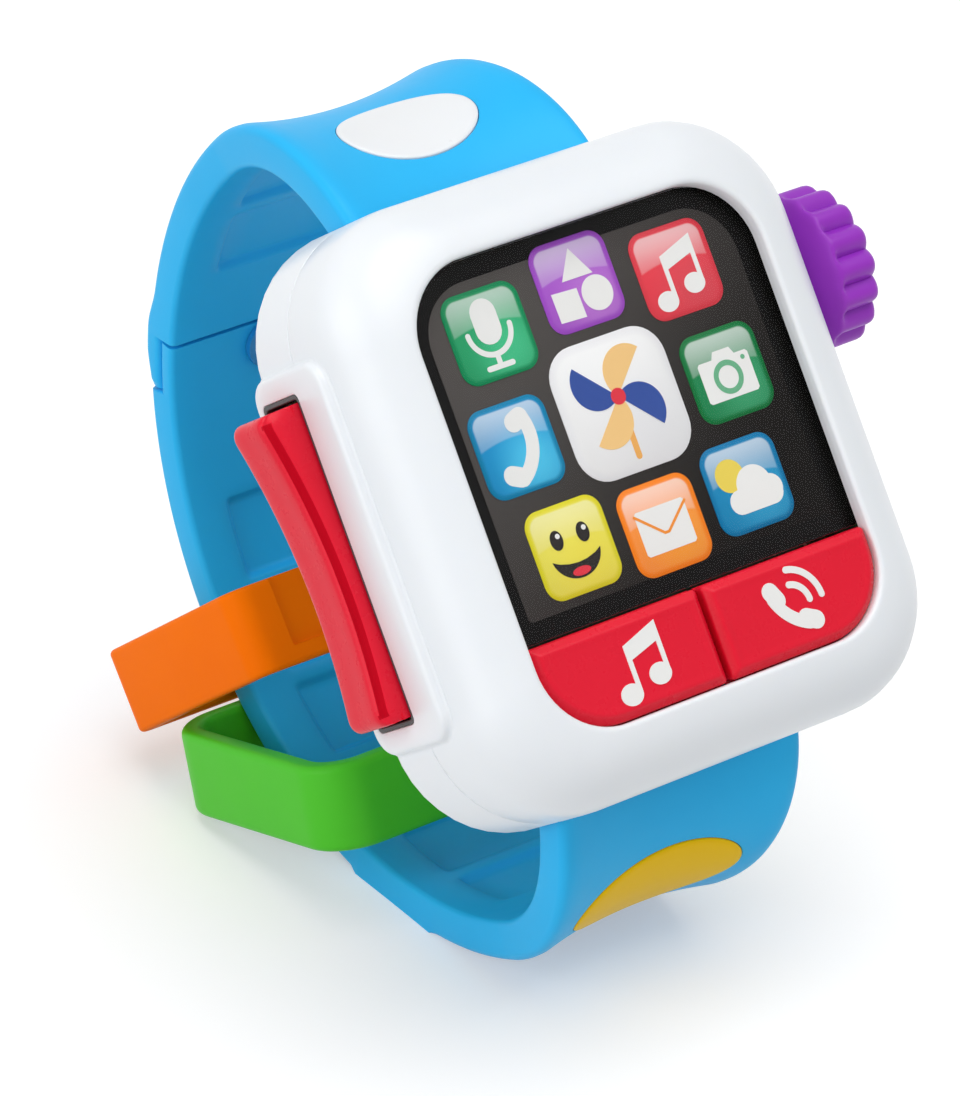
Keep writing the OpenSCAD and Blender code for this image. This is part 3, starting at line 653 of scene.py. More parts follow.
def tile_edge_group() -> bpy.types.NodeTree:
    """Makes the group that measures a printed tile by its UV map.

    Returns:
        The group. Its outputs are the distance inwards from the tile's round-cornered
        edge, as a share of its half width, and the place across and up the tile.
    """
    tree = bpy.data.node_groups.new("tile_edge", "ShaderNodeTree")
    tree.interface.new_socket("Corner", in_out="INPUT", socket_type="NodeSocketFloat")
    for name in ("Inset", "Across", "Up"):
        tree.interface.new_socket(name, in_out="OUTPUT", socket_type="NodeSocketFloat")
    g = Graph(tree)
    corner = g.add("NodeGroupInput").outputs["Corner"]
    uv = g.add("ShaderNodeUVMap", {"uv_map": UV_NAME})
    parts = g.add("ShaderNodeSeparateXYZ", Vector=uv.outputs[0])
    across, up = (g.math("MULTIPLY_ADD", parts.outputs[k], 2.0, -1.0) for k in range(2))
    flat = g.math("SUBTRACT", 1.0, corner)
    past = [g.math("MAXIMUM", g.math("SUBTRACT", g.math("ABSOLUTE", part), flat), 0.0)
            for part in (across, up)]
    g.add("NodeGroupOutput", Inset=g.math("SUBTRACT", corner, g.length(*past)),
          Across=across, Up=up)
    return tree


TILE_EDGE = tile_edge_group()


def new_material(name: str) -> tuple[bpy.types.Material, Graph, bpy.types.Node]:
    """Starts a material.

    Args:
        name: Its name.

    Returns:
        The material, its graph and its Principled shader.
    """
    material = bpy.data.materials.new(name)
    material.use_nodes = True
    graph = Graph(material.node_tree)
    return material, graph, material.node_tree.nodes["Principled BSDF"]


@dataclass(frozen=True)
class Moulded:
    """Moulded plastic or rubber.

    Attributes:
        name: The finish's name.
        colour: Its colour, 0 to 255.
        deep: The colour that it drifts to.
        roughness: How dull it is.
        grain: Depth of the mould's grain, in micrometres.
        grain_size: The grain's scale.
        drift: How far the colour drifts.
        spread: How far the gloss varies.
        coat: Weight of a clear gloss over it.
        bleed: Weight of the light that passes under the skin.
        gloss: Strength of its highlights.
    """

    name: str
    colour: Colour
    deep: Colour
    roughness: float = 0.38
    grain: float = 6.0
    grain_size: float = 2600.0
    drift: float = 0.35
    spread: float = 0.12
    coat: float = 0.0
    bleed: float = 0.0
    gloss: float = 0.5

    def build(self) -> bpy.types.Material:
        """Builds the material.

        Returns:
            The material.
        """
        material, g, shader = new_material(self.name)
        skin = g.group(MOULDED, Colour=srgb(*self.colour), Deep=srgb(*self.deep),
                       Drift=self.drift, Roughness=self.roughness, Spread=self.spread,
                       Grain_Size=self.grain_size).outputs
        g.feed(shader, Base_Color=skin["Colour"], Roughness=skin["Roughness"],
               Normal=g.bump(0.6, self.grain * MICRON, skin["Height"]),
               Specular_IOR_Level=self.gloss, Coat_Weight=self.coat, Coat_Roughness=0.08)
        if self.bleed:
            g.feed(shader, Subsurface_Weight=self.bleed, Subsurface_Scale=1.0,
                   Subsurface_Radius=(0.004, 0.003, 0.002))
        return material


@dataclass(frozen=True)
class Metal:
    """Turned or drawn metal with fine scratches.

    Attributes:
        name: The finish's name.
        colour: Its colour, 0 to 255.
        roughness: How dull it is.
    """

    name: str
    colour: Colour
    roughness: float = 0.3

    def build(self) -> bpy.types.Material:
        """Builds the material.

        Returns:
            The material.
        """
        material, g, shader = new_material(self.name)
        stretch = g.add("ShaderNodeMapping", Vector=g.where(), Scale=(1.0, 1.0, 12.0))
        scratch = g.noise(1500.0, 3.0, where=stretch.outputs[0])
        tint = g.mix(g.ramp(scratch, 0.3, 0.75), srgb(*self.colour),
                     srgb(*[channel * 0.82 for channel in self.colour]))
        g.feed(shader, Base_Color=tint, Metallic=1.0,
               Normal=g.bump(0.3, 4 * MICRON, scratch),
               Roughness=g.math("MULTIPLY_ADD", scratch, 0.2, self.roughness - 0.1))
        return material


@dataclass(frozen=True)
class PrintedTile:
    """A printed picture tile with a darker rim, a glow below and a glossy upper half.

    Attributes:
        name: The finish's name.
        colour: The colour of its middle, 0 to 255.
        rim: The colour of its rim.
        glow: The colour of the glow low on it.
        shine: How white its upper half is.
        corner: Its corner radius as a share of its half width, like all that follows.
        rim_in: How far in the rim reaches.
        glow_at: Where the glow has its middle.
        glow_reach: How far the glow reaches.
        shine_from: Where the glossy half begins in the tile's middle.
        shine_bow: How much lower it begins at the sides.
    """

    name: str
    colour: Colour
    rim: Colour
    glow: Colour
    shine: float = 0.6
    corner: float = 0.4
    rim_in: float = 0.16
    glow_at: Pair = (0.35, -0.45)
    glow_reach: float = 1.25
    shine_from: float = 0.24
    shine_bow: float = 0.16

    def build(self) -> bpy.types.Material:
        """Builds the material.

        Returns:
            The material.
        """
        material, g, shader = new_material(self.name)
        edge = g.group(TILE_EDGE, Corner=self.corner).outputs
        inset, across, up = edge["Inset"], edge["Across"], edge["Up"]
        reach = g.length(g.math("SUBTRACT", across, self.glow_at[0]),
                         g.math("SUBTRACT", up, self.glow_at[1]))
        glow = g.math("SUBTRACT", 1.0, g.ramp(reach, 0.1, self.glow_reach))
        body = g.mix(glow, srgb(*self.colour), srgb(*self.glow))
        rim = g.math("SUBTRACT", 1.0, g.ramp(inset, 0.04, self.rim_in))
        body = g.mix(rim, body, srgb(*self.rim))
        line = g.math("MULTIPLY_ADD", g.math("MULTIPLY", across, across), -self.shine_bow,
                      self.shine_from)
        above = g.ramp(g.math("SUBTRACT", up, line), -0.03, 0.03)
        fade = g.math("MULTIPLY_ADD", g.ramp(up, 0.0, 1.0), 0.6, 0.25)
        inside = g.ramp(inset, 0.1, 0.15)
        shine = g.math("MULTIPLY", g.math("MULTIPLY", above, fade),
                       g.math("MULTIPLY", inside, self.shine))
        ink = g.noise(3000.0)
        g.feed(shader, Base_Color=g.mix(shine, body, srgb(250, 252, 252)),
               Roughness=g.math("MULTIPLY_ADD", ink, 0.12, 0.4), Specular_IOR_Level=0.2,
               Normal=g.bump(0.3, 3 * MICRON, ink))
        return material


@dataclass(frozen=True)
class PanelPrint:
    """The dark print of the icon panel, which grows lighter to one upper corner.

    Attributes:
        name: The finish's name.
        light: The colour at its upper left, 0 to 255.
        dark: The colour at its lower right.
    """

    name: str
    light: Colour
    dark: Colour

    def build(self) -> bpy.types.Material:
        """Builds the material.

        Returns:
            The material.
        """
        material, g, shader = new_material(self.name)
        edge = g.group(TILE_EDGE).outputs
        slant = g.math("SUBTRACT", edge["Across"], edge["Up"])
        body = g.mix(g.ramp(slant, -1.7, 1.5), srgb(*self.light), srgb(*self.dark))
        ink = g.noise(2400.0, 3.0)
        body = g.mix(g.math("MULTIPLY", ink, 0.12), body,
                     srgb(*[channel * 0.8 for channel in self.dark]))
        g.feed(shader, Base_Color=body, Specular_IOR_Level=0.08,
               Roughness=g.math("MULTIPLY_ADD", ink, 0.15, 0.42))
        return material


@dataclass(frozen=True)
class ClearPlastic:
    """The clear plastic of the screen's lens, which lets the light through to the print.

    Attributes:
        name: The finish's name.
        roughness: How dull its face is.
        index: How strongly it mirrors.
    """

    name: str
    roughness: float = 0.03
    index: float = 1.13

    def build(self) -> bpy.types.Material:
        """Builds the material.

        Returns:
            The material.
        """
        material, g, shader = new_material(self.name)
        wave = g.noise(120.0)
        mirror = g.add("ShaderNodeFresnel", IOR=self.index).outputs[0]
        inner = g.add("ShaderNodeNewGeometry").outputs["Backfacing"]
        g.feed(shader, Base_Color=(0.95, 0.95, 0.95, 1.0), Metallic=1.0,
               Alpha=g.math("MULTIPLY", mirror, g.math("SUBTRACT", 1.0, inner)),
               Roughness=g.math("MULTIPLY_ADD", wave, 0.03, self.roughness - 0.01))
        return material


@dataclass(frozen=True)
class Board:
    """A green circuit board with tracks and pads under its lacquer.

    Attributes:
        name: The finish's name.
    """

    name: str

    def build(self) -> bpy.types.Material:
        """Builds the material.

        Returns:
            The material.
        """
        material, g, shader = new_material(self.name)
        where = g.where()
        grid = g.add("ShaderNodeTexBrick", Vector=where, Scale=160.0).outputs["Fac"]
        spots = g.add("ShaderNodeTexVoronoi", Vector=where, Scale=420.0)
        pads = g.math("LESS_THAN", spots.outputs["Distance"], 0.14)
        track = g.mix(grid, srgb(15, 95, 55), srgb(30, 125, 70))
        g.feed(shader, Base_Color=g.mix(pads, track, srgb(200, 190, 150)),
               Roughness=g.math("MULTIPLY_ADD", pads, -0.2, 0.45), Coat_Weight=0.3)
        return material


@dataclass(frozen=True)
class CellWrap:
    """The printed film round a battery cell: a plain colour with a band at one end.

    Attributes:
        name: The finish's name.
        band_from: Where the band begins along the cell, in metres from its middle.
        film_half: Half the film's length; bare metal shows beyond it.
    """

    name: str
    band_from: float = 0.012
    film_half: float = 0.0222

    def build(self) -> bpy.types.Material:
        """Builds the material.

        Returns:
            The material.
        """
        material, g, shader = new_material(self.name)
        where = g.where()
        along = g.add("ShaderNodeSeparateXYZ", Vector=where).outputs[0]
        band = g.math("GREATER_THAN", along, self.band_from)
        cap = g.math("GREATER_THAN", g.math("ABSOLUTE", along), self.film_half)
        body = g.mix(band, srgb(40, 42, 48), srgb(190, 120, 60))
        g.feed(shader, Base_Color=g.mix(cap, body, srgb(200, 202, 205)),
               Metallic=g.math("MULTIPLY", cap, 0.9),
               Roughness=g.math("MULTIPLY_ADD", g.noise(700.0, where=where), 0.1, 0.25))
        return material


def ink_finish(colour_name: str, colour: Colour, deep: Colour) -> Moulded:
    """Gives the finish of a printed picture.

    Args:
        colour_name: What its colour is called.
        colour: Its colour, 0 to 255.
        deep: The colour that it drifts to.

    Returns:
        The finish.
    """
    return Moulded(f"print_{colour_name}", colour, deep, 0.4, gloss=0.2)


@dataclass(frozen=True)
class Palette:
    """Every finish of the watch."""

    white: Moulded = Moulded("case_white", (238, 242, 246), (232, 236, 241), 0.3,
                             grain=3.0, spread=0.08, bleed=0.06)
    lens: ClearPlastic = ClearPlastic("clear_lens")
    border: Moulded = Moulded("panel_border", (12, 11, 11), (7, 7, 7), 0.3, grain=0.5,
                              gloss=0.1)
    panel: PanelPrint = PanelPrint("panel_print", (88, 84, 82), (22, 20, 19))
    red: Moulded = Moulded("button_red", (230, 22, 50), (220, 16, 42), 0.28,
                           grain=3.0, bleed=0.05, gloss=0.2)
    # Darker red painted on the rocker's groove faces: painted shade in the crease, not a
    # colour of the part.
    red_groove_shade: Moulded = Moulded("button_red_painted_shade", (196, 4, 30), (186, 0, 26), 0.5,
                                grain=3.0, gloss=0.05)
    silicone: Moulded = Moulded("silicone", (215, 212, 205), (200, 196, 188), 0.55)
    inner: Moulded = Moulded("inner_white", (232, 233, 232), (222, 223, 222), 0.5)
    board: Board = Board("board_green")
    chip: Moulded = Moulded("chip_black", (28, 28, 30), (20, 20, 22), 0.5)
    led: Moulded = Moulded("led_clear", (235, 236, 225), (225, 226, 210), 0.15, coat=0.6)
    steel: Metal = Metal("steel", (198, 200, 204))
    purple: Moulded = Moulded("knob_purple", (156, 50, 196), (140, 38, 180), 0.36,
                              grain=4.0, bleed=0.05, gloss=0.3)
    wheel: Moulded = Moulded("wheel_grey", (150, 152, 156), (138, 140, 144), 0.45)
    paper: Moulded = Moulded("cone_paper", (52, 50, 48), (40, 38, 36), 0.85, grain=30.0,
                             grain_size=900.0)
    magnet: Metal = Metal("magnet", (120, 122, 126), 0.4)
    # Dark grey of the switches inside; on the rocker slot's lining it is painted shade.
    slot: Moulded = Moulded("switch_black", (78, 82, 83), (66, 70, 71), 0.5)
    cell: CellWrap = CellWrap("cell_wrap")
    blue: Moulded = Moulded("strap_blue", (44, 186, 246), (30, 177, 240), 0.42,
                            grain=7.0, bleed=0.04, gloss=0.15)
    rivet: Moulded = Moulded("rivet_blue", (30, 140, 205), (24, 128, 192), 0.4)
    badge: Moulded = Moulded("badge_white", (238, 240, 242), (231, 234, 237), 0.3,
                             bleed=0.05)
    yellow: Moulded = Moulded("inset_yellow", (248, 200, 0), (244, 192, 0), 0.4,
                              gloss=0.08)
    green: Moulded = Moulded("ring_green", (78, 200, 38), (66, 190, 28), 0.42, bleed=0.04,
                             gloss=0.2)
    orange: Moulded = Moulded("ring_orange", (255, 118, 0), (246, 106, 0), 0.46,
                              bleed=0.04, gloss=0.04)
    print_white: Moulded = ink_finish("white", (240, 240, 238), (232, 232, 230))
    print_black: Moulded = ink_finish("black", (38, 34, 34), (28, 25, 25))
    print_rose: Moulded = ink_finish("rose", (228, 60, 74), (216, 50, 66))
    print_sun: Moulded = ink_finish("sun", (238, 214, 92), (232, 204, 80))
    print_cream: Moulded = ink_finish("cream", (246, 204, 138), (240, 194, 124))
    print_amber: Moulded = ink_finish("amber", (240, 176, 96), (232, 164, 84))
    print_navy: Moulded = ink_finish("navy", (56, 84, 160), (46, 72, 146))
    print_mint: Moulded = ink_finish("mint", (110, 180, 140), (100, 170, 130))
    print_orange: Moulded = ink_finish("orange", (244, 150, 60), (240, 140, 50))


class Paints:
    """The built materials, each made once when it is first asked for."""

    def __init__(self) -> None:
        """Starts with none made."""
        self.made: dict[str, bpy.types.Material] = {}

    def get(self, finish: object) -> bpy.types.Material:
        """Gives a finish's material.

        Args:
            finish: One of the finishes.

        Returns:
            Its material.
        """
        if finish.name not in self.made:
            self.made[finish.name] = finish.build()
        return self.made[finish.name]


PALETTE = Palette()
PAINTS = Paints()


def finish_piece(obj: bpy.types.Object, finish: object, body: str) -> bpy.types.Object:
    """Dresses a finished piece, lets it ride on its body and logs it.

    Args:
        obj: The piece, in its place.
        finish: Its finish.
        body: The body that it rides on.

    Returns:
        The piece.
    """
    obj.data.materials.clear()
    obj.data.materials.append(PAINTS.get(finish))
    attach(obj, body)
    log.info("%s: %d faces, on %s", obj.name, len(obj.data.polygons), body)
    return obj


def lay_uv(obj: bpy.types.Object, w: float, h: float, middle: Pair) -> None:
    """Lays the UV map flat over a piece that still lies in the face frame.

    Args:
        obj: The piece.
        w: Width that runs from 0 to 1, in millimetres.
        h: Height that runs from 0 to 1.
        middle: The middle of that field.
    """
    layer = obj.data.uv_layers.new(name=UV_NAME)
    for loop in obj.data.loops:
        co = obj.data.vertices[loop.vertex_index].co / MM
        layer.data[loop.index].uv = ((co.x - middle[0]) / w + 0.5,
                                     (co.y - middle[1]) / h + 0.5)


# ---------------------------------------------------------------- the case

def on_side(outline: Outline) -> Outline:
    """Stands a flat outline in a plane across X: its height becomes X."""
    return [Vector((p.z, p.x, p.y)) for p in outline]


@dataclass
class Case:
    """The white case: its back, and a pillowed front that rolls in to its window."""

    w: float = 88.0
    h: float = 99.0
    corner: float = 19.5
    rolled: float = 12.0
    roll_from: float = -9.0
    seam: float = -17.0
    window_w: float = 66.0
    window_h: float = 76.0
    window_corner: float = 12.5
    wall: float = 2.5
    inner_roll: float = 6.0
    inner_from: float = -5.95
    side_l: float = 61.4
    side_depth: float = 21.4
    side_corner: float = 3.8
    side_mid: float = -19.2
    bore_y: float = 19.0
    bore_n: float = -15.0
    bore_r: float = 5.2

    def ring(self, inset: float, n: float) -> Outline:
        """Gives an outline between the case's edge and its window.

        Args:
            inset: How far in from the case's side it lies.
            n: Its height.

        Returns:
            The outline.
        """
        share = inset / ((self.w - self.window_w) / 2)
        return round_rect(self.w + (self.window_w - self.w) * share,
                          self.h + (self.window_h - self.h) * share,
                          self.corner + (self.window_corner - self.corner) * share, n, 14)

    def build_front(self) -> bpy.types.Object:
        """Builds the front shell.

        Returns:
            The shell.
        """
        rows = [(0.25, self.seam + 0.05), (0.06, self.seam + 0.15),
                (0.0, self.seam + 0.4), (0.0, -13.0), (0.0, self.roll_from)]
        for angle in range(10, 85, 10):
            a = math.radians(angle)
            rows.append((self.rolled * (1 - math.cos(a)),
                         self.roll_from + self.rolled * math.sin(a)))
        rows += [(10.2, 2.86), (10.5, 2.84), (10.75, 2.72), (10.92, 2.5), (11.0, 2.2),
                 (11.0, 0.05)]
        rows += [(self.wall + self.inner_roll * (1 - math.cos(a)),
                  self.inner_from + self.inner_roll * math.sin(a))
                 for a in reversed(quarter(6))]
        rows.append((self.wall, self.seam + 0.05))
        shell = sweep("case_front", [self.ring(*row) for row in rows], Ends.JOINED)
        half = self.w / 2
        side = sweep("cut", [
            on_side(round_rect(self.side_l, self.side_depth, self.side_corner, x, 6,
                               (0, self.side_mid)))
            for x in (-half - 2, -half + self.wall)])
        shell = boolean(shell, side, Join.CUT)
        bore = rod("cut", (half - 4, self.bore_y, self.bore_n),
                   (half + 6, self.bore_y, self.bore_n), self.bore_r)
        shell = boolean(shell, bore, Join.CUT)
        smooth(shell, 35)
        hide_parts("front_shell")
        return place(shell, STAND)

    def build(self) -> None:
        """Builds and dresses the case."""
        finish_piece(self.build_front(), PALETTE.white, "watch")
        finish_piece(from_solid("rear_shell", "case_back"), PALETTE.white, "watch")
        finish_piece(from_solid("battery_door", "case_battery_door"), PALETTE.white,
                     "battery_door")


# ---------------------------------------------------------------- the screen

class Layer(Enum):
    """Heights of the undersides and tops of flat pictures."""

    BEHIND = (-1.31, -1.27)
    LOW = (-1.31, -1.25)
    PRINT = (-1.31, -1.22)
    OVER = (-1.24, -1.19)
    BUTTON = (2.2, 2.62)


@dataclass
class Drawing:
    """A flat picture cut from thin plates that are joined into one piece.

    Attributes:
        name: The piece's name.
        middle: The place on the face that the picture is measured from.
        layer: Heights of its underside and top.
        plates: The plates so far.
    """

    name: str
    middle: Pair
    layer: Layer = Layer.PRINT
    plates: list[bpy.types.Object] = field(default_factory=list)

    def plate(self, points: Sequence[Pair]) -> None:
        """Adds a plate.

        Args:
            points: Its outline, from the drawing's middle.
        """
        x0, y0 = self.middle
        outlines = [[Vector((x0 + x, y0 + y, n)) for x, y in points]
                    for n in self.layer.value]
        self.plates.append(sweep("plate", outlines))

    def disc(self, x: float, y: float, rx: float, ry: float | None = None) -> None:
        """Adds a round or oval plate.

        Args:
            x: Its middle across.
            y: Its middle up.
            rx: Its radius across.
            ry: Its radius up, the same where it isn't given.
        """
        turn = [2 * math.pi * k / DISC_STEPS for k in range(DISC_STEPS)]
        self.plate([(x + rx * math.cos(a), y + (ry or rx) * math.sin(a)) for a in turn])

    def bar(self, x0: float, y0: float, x1: float, y1: float, width: float) -> None:
        """Adds a straight stroke with round ends.

        Args:
            x0: Its start across.
            y0: Its start up.
            x1: Its end across.
            y1: Its end up.
            width: Its width.
        """
        lie = math.atan2(y1 - y0, x1 - x0)
        ends = [(x1, y1, -90), (x0, y0, 90)]
        turns = [180 * k / BAR_STEPS for k in range(BAR_STEPS + 1)]
        self.plate([polar(x, y, width / 2, lie + math.radians(first + turn))
                    for x, y, first in ends for turn in turns])

    def arc(self, x: float, y: float, r: float, width: float, start: float,
            end: float) -> None:
        """Adds a curved stroke with round ends.

        Args:
            x: The curve's middle across.
            y: The curve's middle up.
            r: The curve's radius.
            width: The stroke's width.
            start: Its first angle in degrees.
            end: Its last angle.
        """
        a, b = math.radians(start), math.radians(end)
        half = width / 2
        turns = [a + (b - a) * k / ARC_STEPS for k in range(ARC_STEPS + 1)]
        caps = [math.pi * k / END_STEPS for k in range(1, END_STEPS)]
        points = [polar(x, y, r + half, turn) for turn in turns]
        points += [polar(*polar(x, y, r, b), half, b + turn) for turn in caps]
        points += [polar(x, y, r - half, turn) for turn in reversed(turns)]
        points += [polar(*polar(x, y, r, a), half, a + math.pi + turn) for turn in caps]
        self.plate(points)

    def cut(self, maker: Callable[[], None]) -> None:
        """Cuts the next plate out of all that was drawn before it.

        Args:
            maker: Draws that plate.
        """
        whole = self.join()
        maker()
        tool = self.plates.pop()
        tool.scale = (1, 1, 3)
        tool.location.z = -sum(self.layer.value) * MM
        apply_all(tool)
        self.plates = [boolean(whole, tool, Join.CUT)]

    def join(self) -> bpy.types.Object:
        """Joins the plates.

        Returns:
            The joined piece.
        """
        whole = self.plates[0]
        for other in self.plates[1:]:
            whole = boolean(whole, other, Join.ADD)
        self.plates = [whole]
        return whole

    def finish(self, finish: object, body: str = "watch",
               slot: str = "panel_print") -> bpy.types.Object:
        """Joins, places and dresses the drawing.

        Args:
            finish: Its finish.
            body: The body that it rides on.
            slot: Not used.

        Returns:
            The piece.
        """
        whole = self.join()
        select_only(whole)
        name_piece(self.name)
        smooth(whole, SOLID_CRISP)
        return finish_piece(place(whole, STAND), finish, body)

    def notes(self, x: float, y: float, size: float) -> None:
        """Draws two quavers under one slanted beam.

        Args:
            x: Their middle across.
            y: Their middle up.
            size: Their size, 1 for about 10 mm across and 11 high.
        """
        stems = ((-1.9, -3.9), (-1.05, -3.9), (-1.05, 1.3), (4.15, 3.0), (4.15, -2.3),
                 (5.0, -2.3), (5.0, 5.9), (-1.9, 3.6))
        beam = ((-1.5, 1.0), (4.6, 2.8), (4.6, 5.6), (-1.5, 3.5))
        for a, b in ((-3.1, -3.9), (3.0, -2.3)):
            self.disc(x + a * size, y + b * size, 2.05 * size, 1.75 * size)
        for points in (stems, beam):
            self.plate([(x + a * size, y + b * size) for a, b in points])


class TileLook(Enum):
    """The finish of each picture tile."""

    MIC = PrintedTile("tile_green", (40, 160, 105), (0, 138, 84), (70, 196, 140))
    SHAPES = PrintedTile("tile_purple", (172, 92, 206), (160, 76, 198), (190, 120, 214))
    MUSIC = PrintedTile("tile_red", (232, 66, 80), (222, 60, 74), (224, 76, 88))
    PHONE = PrintedTile("tile_blue", (26, 150, 208), (0, 130, 176), (80, 200, 240))
    CAMERA = PrintedTile("tile_deep_green", (30, 132, 80), (0, 112, 54), (60, 160, 110))
    SMILE = PrintedTile("tile_yellow", (238, 228, 92), (226, 216, 40), (240, 226, 84),
                        0.35)
    MAIL = PrintedTile("tile_orange", (252, 150, 66), (250, 132, 24), (252, 160, 60))
    WEATHER = PrintedTile("tile_sky", (24, 136, 186), (0, 118, 170), (50, 160, 206))
    CENTRE = PrintedTile("tile_white", (243, 243, 243), (238, 238, 240), (236, 236, 238),
                         0.2, 0.5)


@dataclass
class Screen:
    """The clear lens, the dark panel under it and its picture tiles."""

    w: float = 65.6
    low_y: float = -21.75
    high_y: float = 37.8
    corner: float = 12.3
    tile: float = 14.5
    tile_corner: float = 2.9
    tile_top: float = -1.29
    middle_tile: float = 22.0
    middle_corner: float = 5.5
    middle_y: float = 8.7
    border: float = 3.2
    border_past: float = 1.4
    field_right: float = 0.7
    places: dict[TileLook, Pair] = field(default_factory=lambda: {
        TileLook.MIC: (-1.246, 1.77), TileLook.SHAPES: (0.0, 1.985),
        TileLook.MUSIC: (1.246, 1.77), TileLook.PHONE: (-1.412, 0.531),
        TileLook.CAMERA: (1.412, 0.531), TileLook.SMILE: (-1.169, -0.68),
        TileLook.MAIL: (0.0, -0.79), TileLook.WEATHER: (1.169, -0.68)})

    def at(self, look: TileLook) -> Pair:
        """Gives the middle of a tile on the face.

        Args:
            look: Which tile.

        Returns:
            Its place across and up.
        """
        x, y = self.places[look]
        return (x * self.tile, y * self.tile)

    def plate(self, name: str, inset: float, rows: Rows, foot: float = 0.8,
              spread: float = 0.0, across: float = 0.0) -> bpy.types.Object:
        """Builds a plate with the shape of the screen.

        Args:
            name: The plate's name.
            inset: How far it keeps inside the screen's own outline.
            rows: A further inset and a height for each outline, from the underside up.
            foot: Radius of its two lower corners.
            spread: How far its top and sides reach past that outline.
            across: How far to the right it is set.

        Returns:
            The plate.
        """
        mid = (self.low_y + self.high_y + spread) / 2
        outlines = []
        for further, n in rows:
            e = inset + further
            top = self.corner - e + spread
            outlines.append(round_rect(self.w - 2 * e + 2 * spread,
                                       self.high_y - self.low_y - 2 * e + spread,
                                       (foot, top, top, foot), n, 12, (across, mid)))
        return sweep(name, outlines)

    def build_lens(self) -> None:
        """Builds the clear lens."""
        lens = self.plate("screen_lens_clear", 0.0,
                          [(0.0, -1.15), (0.0, 0.75), (0.1, 1.03), (0.35, 1.17),
                           (0.7, 1.2)])
        smooth(lens)
        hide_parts("screen_lens")
        finish_piece(place(lens, STAND), PALETTE.lens, "watch")

    def build_panel(self) -> None:
        """Builds the black border and the dark printed field inside it."""
        back = self.plate("screen_border", 0.0, [(0.0, -2.2), (0.0, -1.5)],
                          spread=self.border_past)
        smooth(back)
        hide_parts("icon_panel")
        finish_piece(place(back, STAND), PALETTE.border, "watch")
        over = self.plate("screen_field", self.border, [(0.0, -1.55), (0.0, -1.45)], 0.9,
                          across=self.field_right)
        mid = (self.low_y + self.high_y) / 2
        lay_uv(over, self.w - 6, self.high_y - self.low_y - 6, (0, mid))
        smooth(over)
        finish_piece(place(over, STAND), PALETTE.panel, "watch")

    def build_tile(self, name: str, look: TileLook, middle: Pair, size: float,
                   corner: float) -> None:
        """Builds one picture tile.

        Args:
            name: The tile's name.
            look: Its finish.
            middle: Its place.
            size: Its width and height.
            corner: Its corner radius.
        """
        rows = [(0.0, self.tile_top - 0.2), (0.0, self.tile_top - 0.05),
                (0.06, self.tile_top)]
        outlines = [round_rect(size - 2 * e, size - 2 * e, corner - e, n, 8, middle)
                    for e, n in rows]
        tile = sweep(name, outlines)
        lay_uv(tile, size, size, middle)
        smooth(tile, 50)
        finish_piece(place(tile, STAND), look.value, "watch")

    def draw_mic(self) -> None:
        """Draws a microphone on its stand."""
        d = Drawing("icon_mic", self.at(TileLook.MIC))
        d.bar(0, 0.6, 0, 3.3, 4.7)
        d.arc(0, 0.6, 3.95, 0.9, -180, 0)
        d.bar(0, -3.4, 0, -5.0, 0.9)
        d.bar(-2.2, -5.3, 2.2, -5.3, 0.9)
        d.finish(PALETTE.print_white)

    def draw_shapes(self) -> None:
        """Draws a triangle, a square and a disc."""
        d = Drawing("icon_shapes", self.at(TileLook.SHAPES))
        d.plate([(0.4, 5.5), (-2.6, 0.7), (3.3, 0.7)])
        d.finish(PALETTE.print_white)
        d = Drawing("icon_square", self.at(TileLook.SHAPES))
        d.plate([(-5.3, -0.6), (-0.5, -0.8), (-0.4, -5.6), (-5.2, -5.4)])
        d.finish(PALETTE.print_white)
        d = Drawing("icon_disc", self.at(TileLook.SHAPES))
        d.disc(2.9, -2.5, 2.85)
        d.finish(PALETTE.print_white)

    def draw_notes(self) -> None:
        """Draws a pair of quavers."""
        d = Drawing("icon_notes", self.at(TileLook.MUSIC))
        d.notes(-0.4, -0.7, 0.95)
        d.finish(PALETTE.print_white)

    def draw_phone(self) -> None:
        """Draws a telephone handset."""
        d = Drawing("icon_phone", self.at(TileLook.PHONE))
        d.arc(-4.6, 1.6, 7.7, 2.3, -60, 21)
        d.bar(2.2, 4.3, 0.9, 3.8, 3.2)
        d.bar(-1.1, -4.6, -2.4, -4.0, 3.2)
        d.finish(PALETTE.print_white)

    def draw_camera(self) -> None:
        """Draws a camera with a ring for its lens."""
        at = self.at(TileLook.CAMERA)
        d = Drawing("icon_camera", at)
        d.plate([(x, y - 0.5) for x, y in ((-4.9, -3.2), (-4.5, -3.6), (4.5, -3.6),
                 (4.9, -3.2), (4.9, 2.7), (4.5, 3.1), (2.4, 3.1), (1.8, 4.3), (-1.4, 4.3),
                 (-2.0, 3.1), (-4.5, 3.1), (-4.9, 2.7))])
        d.finish(PALETTE.print_white)
        d = Drawing("icon_camera_ring", at, Layer.OVER)
        d.disc(0, -0.7, 2.75)
        d.cut(lambda: d.disc(0, -0.7, 1.85))
        d.disc(3.7, 1.6, 0.4)
        d.finish(PALETTE.print_mint)

